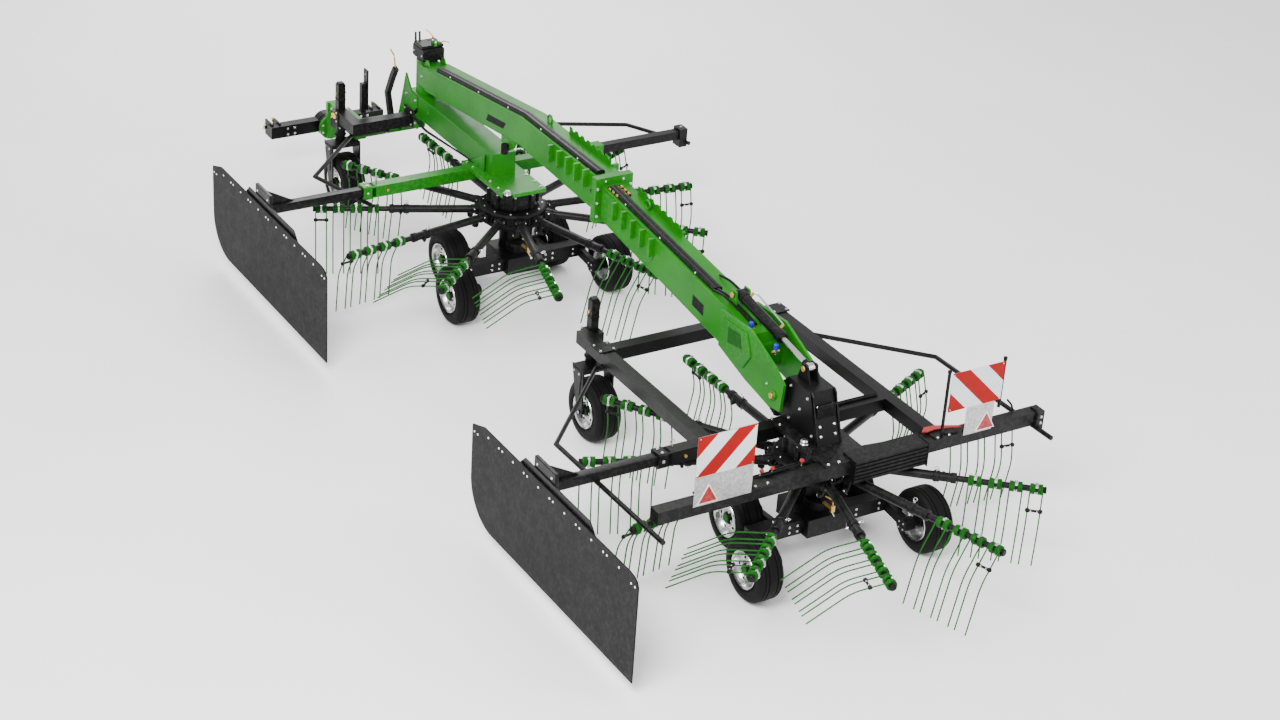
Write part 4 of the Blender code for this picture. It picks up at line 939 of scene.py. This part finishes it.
def beam_details():
    made = Piece("beam_looks")
    for y, x, line in ((3.62, 0.045, FRONT_TOP), (2.22, 0.045, REAR_TOP), (0.74, 0.015, REAR_TOP)):
        top = height(line, y)
        made.add(ring((x, y, top + 0.033), X, 0.030, 0.0085, 28, 10), GREEN)
        made.add(block((0.020, 0.05, 0.010), (x, y, top + 0.003), 0.003), GREEN)
    for shape in comb_plate(3.40, 2.80, FRONT_TOP, 0.085) + comb_plate(2.42, 1.82, REAR_TOP, 0.085):
        made.add(shape, GREEN)
    # Splice: bolts through the two end plates.
    for x in (-0.132, 0.132):
        for z in (1.225, 1.325, 1.430):
            made.bolt((x, 2.6155 - 0.015, z), -Y, 0.011)
            made.bolt((x, 2.6455 + 0.015, z), Y, 0.011)
    for x in (-0.07, 0.07):
        made.bolt((x, 2.6155 - 0.015, 1.480), -Y, 0.009)
        made.bolt((x, 2.6455 + 0.015, 1.480), Y, 0.009)
    # Hose joints behind the splice.
    for x in (-0.075, -0.045, -0.015, 0.015):
        first = height(REAR_TOP, 2.53) + 0.012
        last = height(REAR_TOP, 2.41) + 0.012
        made.add(rod((x, 2.555, first), (x, 2.400, last), 0.0075, 10), BLACK)
        for share in (0.18, 0.50, 0.82):
            spot = Vector((x, 2.555, first)).lerp(Vector((x, 2.400, last)), share)
            made.add(drum(0.011, -0.013, 0.013, 0.002, 6), BRASS, facing((0.0, -0.155, last - first), spot))
    # Bare dark plates on the left side, and a hose hole with a black disc of painted shade in it.
    made.add(side_slab(((4.33, 1.262), (4.30, 1.322), (4.02, 1.357), (4.06, 1.297)), 0.0012, -0.1006, 0.0004),
             BOARD)
    made.add(side_slab(((1.36, 1.110), (1.36, 1.190), (1.22, 1.172), (1.22, 1.092)), 0.0012, -0.1006, 0.0004),
             BOARD)
    made.add(ring((-0.1005, 2.74, 1.355), X, 0.020, 0.005, 24, 8), GREEN)
    # A thin black disc in the hole's rim: painted shade of the hollow beam inside.
    made.add(drum(0.018, 0.0, 0.0012, 0.0004, 20), BOARD, facing(-X, (-0.100, 2.74, 1.355)))
    # Lug and damper under the front length.
    made.add(side_slab(((4.10, 1.18), (4.10, 1.245), (3.86, 1.285), (3.90, 1.20), (3.98, 1.15)), 0.016, -0.085,
                       0.003), GREEN)
    made.add(rod((-0.135, 3.99, 1.19), (-0.03, 3.99, 1.19), 0.014, 14), STEEL)
    made.add(rod((-0.118, 3.99, 1.205), (-0.118, 3.99, 1.130), 0.030, 20, 0.003), CAST)
    # Weld beads along the plates' lower and upper edges.
    for side in (-1, 1):
        made.add(sweep(((side * 0.1, 5.33, 1.104), (side * 0.1, 3.80, 1.275), (side * 0.1, 2.68, 1.228)),
                       0.0035, 6), GREEN)
        made.add(sweep(((side * 0.1, 2.58, 1.202), (side * 0.1, 0.98, 1.002)), 0.0035, 6), GREEN)
        made.add(sweep(((side * 0.1, 5.33, 1.289), (side * 0.1, 3.80, 1.492), (side * 0.1, 2.68, 1.483)),
                       0.0035, 6), GREEN)
        made.add(sweep(((side * 0.1, 2.58, 1.448), (side * 0.1, 0.64, 1.246)), 0.0035, 6), GREEN)
    # Doubler with a rounded end on the rear length.
    for side in (-1, 1):
        outline = [(2.59, 1.215), (2.59, 1.440), (2.02, 1.372)]
        for step in range(9):
            angle = math.radians(70.0 - 17.5 * step)
            outline.append((1.94 - 0.10 * math.cos(angle) + 0.03, 1.265 + 0.105 * math.sin(angle)))
        outline.append((2.02, 1.142))
        made.add(side_slab(outline, 0.006, side * 0.1025, 0.002), GREEN)
    # Head of the rear length: folded gusset, pins and their locking bolts.
    for side in (-1, 1):
        made.add(side_slab(((0.90, 1.06), (0.90, 1.245), (0.62, 1.265), (0.56, 1.12), (0.64, 1.00)), 0.012,
                           side * 0.150, 0.004), GREEN)
        made.add(side_slab(((0.83, 1.10), (0.83, 1.215), (0.69, 1.225), (0.66, 1.13)), 0.002, side * 0.1565, 0.0008),
                 TINE_GREEN)
        made.add(drum(0.034, 0.0, 0.010, 0.003, 24), GREEN, facing(X * side, (side * 0.145, 0.28, 0.985)))
        made.add(drum(0.021, 0.0, 0.022, 0.003, 18), BRASS, facing(X * side, (side * 0.150, 0.28, 0.985)))
        made.add(drum(0.020, 0.0, 0.008, 0.002, 18), BRASS, facing(X * side, (side * 0.063, 0.95, 1.37)))
        made.bolt((side * 0.146, 0.36, 1.03), X * side, 0.009)
    # Cylinder's hose ends, blue caps and valves at the head.
    for x, y, z in ((-0.085, 0.68, 1.255), (0.055, 0.68, 1.255), (-0.060, 0.42, 1.215)):
        made.add(rod((x, y, z - 0.02), (x, y, z + 0.016), 0.013, 12), STEEL)
        made.add(rod((x, y, z + 0.012), (x, y, z + 0.052), 0.016, 16, 0.003), BLUE)
        made.add(rod((x - 0.03, y, z), (x + 0.03, y, z), 0.008, 10), BRASS)
    for x, start, end in ((-0.075, 1.16, 0.72), (-0.050, 1.17, 0.70), (0.065, 1.30, 0.72)):
        path = rounded(((x, start, height(REAR_TOP, start) + 0.010), (x, start - 0.12, height(REAR_TOP, start) + 0.030),
                        (x + 0.01, end + 0.10, height(REAR_TOP, end) + 0.045), (x + 0.02, end, height(REAR_TOP, end) + 0.012)),
                       0.05)
        made.add(sweep(path, 0.0085, 10), CAST)
    made.stand("beam")


# ---------------------------------------------------------------- cylinder
def cylinder():
    eye = Vector((0.0, 0.95, 1.37))
    end = Vector((0.0, 0.12, 1.235))
    along = (end - eye).normalized()
    tube_end = eye + along * ((end - eye).length * 0.62)
    barrel = Piece("lift_barrel_looks")
    for share, reach in ((0.10, 0.018), (0.94, 0.024)):
        barrel.add(drum(0.0405, -reach, reach, 0.003, 28), CAST, facing(along, eye.lerp(tube_end, share)))
    side = Vector((0.030, 0.0, 0.030))
    for share in (0.16, 0.86):
        spot = eye.lerp(tube_end, share)
        barrel.add(rod(spot + side * 0.8, spot + side * 1.55, 0.010, 6), BRASS)
    first = eye.lerp(tube_end, 0.16) + side * 1.5
    last = eye.lerp(tube_end, 0.86) + side * 1.5
    barrel.add(sweep(rounded((first, first + Vector((0.0, -0.05, 0.012)), last + Vector((0.0, 0.05, 0.012)), last),
                             0.02), 0.0055, 8), STEEL)
    barrel.stand("lift_barrel")
    head = Piece("lift_rod_looks")
    head.add(drum(0.0235, 0.0, 0.030, 0.003, 20), CAST, facing(along, end - along * 0.062))
    head.stand("lift_rod")
    pins = Piece("rod_pin_looks")
    for turn in (-1, 1):
        pins.add(drum(0.020, 0.0, 0.010, 0.002, 16), BRASS, facing(X * turn, (turn * 0.046, 0.12, 1.235)))
    pins.stand("rear_unit")


# ---------------------------------------------------------------- rear frame
def rear_frame_details():
    made = Piece("rear_frame_looks")
    # Headstock: bolts, opening with its rim, and the ribbed housing beside it.
    for side in (-1, 1):
        for y, z in ((-0.10, 0.87), (0.16, 0.87), (-0.02, 1.10), (0.17, 1.10), (0.05, 0.99)):
            made.bolt((side * 0.0955, y, z), X * side, 0.010)
        made.add(side_slab(((-0.175, 0.827), (-0.100, 0.827), (-0.065, 1.13), (-0.042, 1.152), (-0.075, 1.10)),
                           0.014, side * 0.088, 0.002), BLACK)
    made.add(block((0.14, 0.012, 0.10), (0.0, -0.100, 1.03), 0.004), CAST)
    for x in (-0.055, 0.055):
        for z in (0.88, 0.94, 1.06):
            made.bolt((x, -0.165 + (z - 0.83) * 0.36, z), Vector((0.0, -1.0, 0.36)), 0.009)
    # Drive housing: a corrugated boot from the beam's head down to the gearbox.
    boot = Vector((-0.055, 0.47, 0.905))
    foot = Vector((-0.055, 0.30, 0.832))
    profile = []
    length = (foot - boot).length
    for step in range(17):
        radius = 0.056 if step % 2 else 0.048
        profile.append((radius, length * step / 16))
    made.add(lathe([(0.0, 0.0)] + profile + [(0.0, length)], 28), CAST, facing(foot - boot, boot))
    # Ribbed guard on the rear bar.
    outline = [(-0.305, 0.840), (-0.305, 0.680)]
    for index in reversed(range(6)):
        z = 0.838 - index * 0.0265
        outline += [(-0.444, z - 0.0235), (-0.444, z - 0.019), (-0.452, z - 0.015), (-0.452, z)]
    made.add(side_slab(outline, 0.56, 0.29, 0.0012), CAST)
    made.add(side_slab(((-0.300, 0.674), (-0.300, 0.845), (-0.456, 0.845), (-0.456, 0.674)), 0.008, 0.574, 0.002),
             BLACK)
    # Bolted clamps where the tubes cross the deck and the bar.
    for x in (-0.15, -0.07, 0.07, 0.15):
        for y in (-0.375, 0.17, 0.26):
            made.bolt((x, y, 0.8253), Z, 0.010)
    for x in (-0.66, 0.73):
        made.add(block((0.14, 0.13, 0.010), (x, 1.54, 0.820), 0.002), BLACK)
        for a in (-0.05, 0.05):
            for b in (-0.045, 0.045):
                made.bolt((x + a, 1.54 + b, 0.825), Z, 0.009)
        made.add(block((0.13, 0.13, 0.010), (x, -0.35, 0.820), 0.002), BLACK)
        for a in (-0.045, 0.045):
            for b in (-0.045, 0.045):
                made.bolt((x + a, -0.35 + b, 0.825), Z, 0.008)
        for z in (0.745, 0.795):
            made.bolt((x + 0.046, 0.60, z), X, 0.007)
    # Red catch and knobs.
    made.add(flat_slab(((0.62, -0.31), (0.66, -0.27), (0.74, -0.275), (0.88, -0.335), (0.90, -0.36),
                        (0.72, -0.315), (0.66, -0.325)), 0.012, 0.836, 0.003), RED)
    made.add(block((0.10, 0.07, 0.020), (0.80, -0.35, 0.825), 0.004), CAST)
    for x in (-0.60, -0.52, -0.30):
        made.add(rod((x, -0.30, 0.815), (x, -0.30, 0.845), 0.006, 8), STEEL)
        made.add(lathe(((0.0, 0.0), (0.012, 0.002), (0.016, 0.012), (0.012, 0.022), (0.0, 0.026)), 16), RED,
                 Matrix.Translation((x, -0.30, 0.842)))
    # Ends of the bar: caps, and the bracket that holds the right guard.
    for x in (-1.402, 1.562):
        made.add(block((0.004, 0.084, 0.084), (x - 0.001 * (1 if x > 0 else -1), -0.35, 0.77), 0.001), CAST)
    made.add(block((0.060, 0.020, 0.135), (1.515, -0.406, 0.760), 0.003), BLACK)
    made.add(block((0.045, 0.080, 0.012), (1.515, -0.365, 0.821), 0.002), BLACK)
    for z in (0.745, 0.790):
        made.bolt((1.515, -0.4165, z), -Y, 0.009)
    made.add(sweep(rounded(((1.36, -0.30, 0.80), (1.36, -0.30, 0.85), (1.36, -0.24, 0.865)), 0.03), 0.007, 8), CAST)
    # Hoses along the bar.
    for lane, z in ((0.0, 0.826), (0.018, 0.828)):
        path = rounded(((-0.16, -0.20 + lane, 0.845), (-0.24, -0.29 + lane, z), (-0.60, -0.315 + lane, z),
                        (-1.10, -0.32 + lane, z)), 0.06)
        made.add(sweep(path, 0.007, 8), CAST)
    for lane in (0.0, 0.018):
        path = rounded(((0.12, 0.10 + lane, 0.845), (0.24, 0.235 + lane, 0.824), (0.66, 0.235 + lane, 0.824)), 0.06)
        made.add(sweep(path, 0.007, 8), CAST)
    # The socket's lock by the board's arm.
    socket_details(made, 0.22, BLACK)
    guard_details(made, ((-0.75, 1.48, -0.66, 1.48), (0.73, 1.40, 0.82, 1.34)))
    made.stand("rear_unit")


def socket_details(made, y, finish):
    """Collar, clamping bolts and a pin with its ring at the mouth of the board's socket tube."""
    across = Matrix.Translation((0.0, y, 0.77))
    made.add(hollow_bar(0.106, 0.0080, -1.052, -0.985, 0.010), finish, across)
    for aside in (-0.028, 0.028):
        made.bolt((-1.018, y + aside, 0.823), Z, 0.009)
    made.bolt((-1.018, y - 0.053, 0.77), -Y, 0.010)
    made.add(rod((-0.93, y, 0.800), (-0.93, y, 0.856), 0.007, 10), STEEL)
    made.add(ring((-0.93, y, 0.868), Y, 0.014, 0.003, 18, 6), STEEL)
    made.add(rod((-0.86, y - 0.046, 0.775), (-0.86, y - 0.066, 0.775), 0.010, 12), BRASS)


def guard_details(made, holds):
    """Clips that hold the guard bars to the frame tubes."""
    for x1, y1, x2, y2 in holds:
        middle = Vector(((x1 + x2) / 2, (y1 + y2) / 2, 0.7077))
        along = Vector((x2 - x1, y2 - y1, 0.0)).normalized()
        made.add(drum(0.0235, -0.016, 0.016, 0.003, 20), CAST, facing(along, middle))
        made.bolt(middle + Vector((0.0, 0.0, -0.0225)), -Z, 0.008)


# ---------------------------------------------------------------- front unit
def front_details():
    made = Piece("front_unit_looks")
    # Carrier: foot bolts, cheek bolts and weld beads.
    for x in (-0.155, 0.155):
        for y in (-0.15, -0.05, 0.08, 0.36, 0.46):
            made.bolt((x, SPACING + y, 0.8455), Z, 0.011)
    for side in (-1, 1):
        for y, z in ((5.50, 0.77), (5.50, 0.96), (5.66, 0.77), (5.66, 0.96), (5.75, 0.66)):
            made.bolt((side * 0.1055, y, z), X * side, 0.011)
        made.add(sweep(((side * 0.1, 4.22, 0.8335), (side * 0.1, 5.46, 0.8335)), 0.004, 6), GREEN)
        made.add(sweep(((side * 0.1, 4.22, 1.018), (side * 0.1, 5.46, 1.018)), 0.003, 6), GREEN)
        # Ribs from the carrier's box down to the foot.
        made.add(side_slab(((4.30, 0.832), (4.55, 0.832), (4.30, 0.99)), 0.010, side * 0.118, 0.002), GREEN)
    made.add(ring((-0.1005, 5.30, 0.93), X, 0.014, 0.004, 18, 6), GREEN)
    # Lugs on the drawbar arm.
    for side in (-1, 1):
        made.bolt((HITCH_X, 6.05, 0.645 + side * 0.074), Z * side, 0.016)
    made.add(side_slab(((5.86, 0.59), (5.86, 0.70), (5.98, 0.68), (5.98, 0.61)), 0.012, HITCH_X - 0.052, 0.002), GREEN)
    # Bolted flange of the cross tube.
    made.add(block((0.012, 0.15, 0.15), (-0.113, 5.60, 0.79), 0.003), CAST)
    for a in (-0.055, 0.055):
        for b in (-0.052, 0.052):
            made.bolt((-0.119, 5.60 + a, 0.79 + b), -X, 0.010)
    # Hose holder: a cranked black plate with a bright handle.
    holder = ((5.815, 0.700), (5.875, 0.690), (5.935, 0.880), (5.840, 1.075), (5.790, 1.150), (5.745, 1.130),
              (5.800, 1.040), (5.880, 0.880))
    made.add(side_slab(holder, 0.040, -0.150, 0.004), CAST)
    handle = rounded(((-0.150, 5.775, 1.120), (-0.150, 5.79, 1.185), (-0.150, 5.80, 1.235), (-0.150, 5.87, 1.262)), 0.02)
    made.add(sweep(handle, 0.007, 8), BRASS)
    made.add(drum(0.014, -0.012, 0.012, 0.003, 12), BRASS, facing(Z, (-0.150, 5.775, 1.125)))
    # Parking stand: a tall flat post in front of the castor.
    made.add(block((0.014, 0.070, 0.340), (-0.400, 5.79, 0.99), 0.003), BLACK)
    made.add(block((0.040, 0.050, 0.250), (-0.425, 5.795, 0.92), 0.004), BLACK)
    for z in (0.95, 1.04, 1.12):
        made.dome((-0.4075, 5.79, z), -X, 0.006)
    # Hoses from the carrier to the gearbox and the castor.
    for lane in (0.0, 0.020):
        path = rounded(((-0.108, 5.47, 0.90 - lane), (-0.16, 5.44, 0.88 - lane), (-0.17, 5.20, 0.84 - lane * 0.4),
                        (-0.125, 4.62, 0.852), (-0.115, 4.45, 0.852)), 0.06)
        made.add(sweep(path, 0.0075, 8), CAST)
    socket_details(made, SPACING + 0.44, GREEN)
    guard_details(made, ((-0.34, 5.59, -0.28, 5.59), (0.115, 5.57, 0.22, 5.53)))
    made.bolt((1.758, SPACING + 0.44, 0.826), Z, 0.010)
    made.stand("front_unit")


HITCH_X = -0.45


def valve_block():
    """The swing eye's cap and the hydraulic block with couplings on top of it."""
    made = Piece("valve_block_looks")
    made.add(block((0.186, 0.20, 0.105), (0.0, 5.50, 1.364), 0.010), CAST)
    made.add(block((0.19, 0.15, 0.024), (0.0, 5.50, 1.426), 0.006), BLACK)
    made.add(drum(0.040, 1.300, 1.322, 0.004, 28), CAST, Matrix.Translation((0.0, 5.61, 0.0)))
    for x, colour in ((-0.070, BLUE), (-0.035, RED), (-0.005, RED)):
        made.add(rod((x, 5.585, 1.300), (x, 5.585, 1.345), 0.011, 6), STEEL)
        made.add(rod((x, 5.585, 1.340), (x, 5.585, 1.395), 0.015, 16, 0.003), colour)
        made.add(rod((x, 5.585, 1.395), (x, 5.585, 1.415), 0.010, 12), BRASS)
    for x in (-0.070, -0.035):
        path = ((x, 5.585, 1.412), (x, 5.588, 1.45), (x, 5.592, 1.500))
        made.add(sweep(path, 0.0085, 10), BLACK)
    for x, y in ((0.02, 5.47), (0.055, 5.44), (0.02, 5.42)):
        made.add(rod((x, y, 1.430), (x, y, 1.458), 0.013, 12, 0.003), GREEN)
        made.add(rod((x, y, 1.456), (x, y, 1.466), 0.008, 10), STEEL)
    made.add(rod((0.06, 5.55, 1.430), (0.06, 5.55, 1.462), 0.008, 10), BRASS)
    made.add(sweep(rounded(((0.06, 5.55, 1.460), (0.055, 5.60, 1.478), (0.05, 5.65, 1.482)), 0.02), 0.006, 8), YELLOW)
    made.add(sweep(rounded(((0.075, 5.45, 1.44), (0.095, 5.43, 1.46), (0.115, 5.38, 1.462)), 0.015), 0.004, 8), BRASS)
    for side in (-1, 1):
        for y in (5.43, 5.57):
            made.bolt((side * 0.093, y, 1.36), X * side, 0.007)
    made.stand("beam", "valve_block")
    cap = Piece("swing_eye_looks")
    for side in (-1, 1):
        cap.add(side_slab(((5.36, 1.110), (5.36, 1.285), (5.475, 1.285), (5.475, 1.110)), 0.010, side * 0.092, 0.003),
                GREEN)
        cap.bolt((side * 0.098, 5.41, 1.20), X * side, 0.011)
        cap.add(side_slab(((5.30, 1.27), (5.42, 1.27), (5.42, 1.33), (5.36, 1.345)), 0.010, side * 0.070, 0.002), GREEN)
    cap.stand("beam")


def hitch():
    yoke = Piece("hitch_yoke_looks")
    for step in range(8):
        angle = math.tau * (step + 0.5) / 8
        spot = (HITCH_X + 0.082 * math.cos(angle), 6.327, 0.45 + 0.082 * math.sin(angle))
        yoke.bolt(spot, -Y, 0.008)
    yoke.add(side_slab(((6.18, 0.612), (6.296, 0.612), (6.296, 0.50)), 0.012, HITCH_X, 0.002), GREEN)
    yoke.add(ring((HITCH_X, 6.05, 0.688), Z, 0.040, 0.004, 24, 6), GREEN)
    yoke.stand("hitch_yoke")
    bar = Piece("hitch_crossbar_looks")
    for side in (-1, 1):
        x = HITCH_X + side * 0.445
        for along in (-1, 1):
            outer = x + along * 0.060
            bar.add(drum(0.0185, 0.0, 0.007, 0.002, 16), BRASS, facing(X * along, (outer - along * 0.003, 6.54, 0.45)))
            bar.add(ring((outer - along * 0.008, 6.54, 0.473), X, 0.010, 0.002, 14, 6), BRASS)
        bar.add(rod((x, 6.50, 0.508), (x, 6.50, 0.540), 0.009, 10), BRASS)
        bar.add(drum(0.016, 0.0, 0.006, 0.002, 14), BRASS, Matrix.Translation((x, 6.50, 0.538)))
        for z in (0.425, 0.475):
            bar.bolt((x - side * 0.09, 6.394, z), -Y, 0.010)
            bar.bolt((x - side * 0.15, 6.394, z), -Y, 0.010)
    bar.add(ring((HITCH_X, 6.408, 0.45), Y, 0.0955, 0.004, 36, 8), CAST)
    for step in range(6):
        angle = math.tau * step / 6
        spot = (HITCH_X + 0.072 * math.cos(angle), 6.4895, 0.45 + 0.072 * math.sin(angle))
        bar.bolt(spot, Y, 0.007)
    bar.stand("hitch_crossbar")


# ---------------------------------------------------------------- build
tine_arms()
for unit, y0 in UNITS:
    rotor_hub(unit, y0)
    gearbox(unit, y0)
    wheels(unit, y0)
    castor_post(unit, y0)
warning_board("warning_board_left", -1)
warning_board("warning_board_right", 1)
swath_board("rear", 0.22)
swath_board("front", SPACING + 0.44)
hose_cover("hose_cover_front_looks", FRONT_TOP, (5.20, 3.80, 2.72), "hose_cover_front")
hose_cover("hose_cover_rear_looks", REAR_TOP, (2.54, 1.15), "hose_cover_rear")
beam_details()
cylinder()
rear_frame_details()
front_details()
valve_block()
hitch()


# ---------------------------------------------------------------- floor, light and camera
def floor():
    made, tree, shader = new_material("pale_floor")
    base = ramp(tree, noise(tree, 0.8), ((0.3, grey(0.93)), (0.7, grey(0.96))))
    tree.links.new(base, shader.inputs["Base Color"])
    shader.inputs["Roughness"].default_value = 0.95
    shader.inputs["Specular IOR Level"].default_value = 0.1
    mesh = bpy.data.meshes.new("floor")
    mesh.from_pydata([(-60, -60, 0), (60, -60, 0), (60, 60, 0), (-60, 60, 0)], [], [(0, 1, 2, 3)])
    mesh.materials.append(made)
    ground = bpy.data.objects.new("floor", mesh)
    bpy.context.scene.collection.objects.link(ground)


def area_light(name, place, target, size, power):
    lamp = bpy.data.lights.new(name, "AREA")
    lamp.size = size
    lamp.energy = power
    made = bpy.data.objects.new(name, lamp)
    made.location = place
    made.rotation_euler = (Vector(target) - Vector(place)).to_track_quat("-Z", "Y").to_euler()
    bpy.context.scene.collection.objects.link(made)


def lights():
    world = bpy.data.worlds.new("studio")
    world.use_nodes = True
    world.node_tree.nodes["Background"].inputs["Color"].default_value = grey(1.0)
    world.node_tree.nodes["Background"].inputs["Strength"].default_value = 1.15
    bpy.context.scene.world = world
    area_light("key", (-7.0, -6.0, 9.0), (0.0, 0.0, 0.5), 5.0, 2300.0)
    area_light("fill", (7.0, -8.0, 6.0), (0.0, 0.0, 0.5), 6.0, 500.0)
    area_light("back", (2.0, 9.0, 7.0), (0.0, 0.0, 0.8), 5.0, 800.0)


CAMERA_AT = Vector((-8.5056, -11.1586, 8.8754)) + SHIFT
CAMERA_AZIMUTH = math.radians(-32.66)
CAMERA_ELEVATION = math.radians(28.58)
CAMERA_ROLL = math.radians(4.01)
CAMERA_LENS = 71.3


def camera():
    data = bpy.data.cameras.new("photo_view")
    data.sensor_width = 36.0
    data.lens = CAMERA_LENS
    data.clip_end = 200.0
    made = bpy.data.objects.new("photo_view", data)
    back = Vector((math.sin(CAMERA_AZIMUTH) * math.cos(CAMERA_ELEVATION),
                   -math.cos(CAMERA_AZIMUTH) * math.cos(CAMERA_ELEVATION),
                   math.sin(CAMERA_ELEVATION)))
    right = Vector((0, 0, 1)).cross(back).normalized()
    up = back.cross(right)
    tilted_right = math.cos(CAMERA_ROLL) * right + math.sin(CAMERA_ROLL) * up
    tilted_up = math.cos(CAMERA_ROLL) * up - math.sin(CAMERA_ROLL) * right
    turn = Matrix((tilted_right, tilted_up, back)).transposed().to_4x4()
    made.matrix_world = Matrix.Translation(CAMERA_AT) @ turn
    bpy.context.scene.collection.objects.link(made)
    bpy.context.scene.camera = made


floor()
lights()
camera()
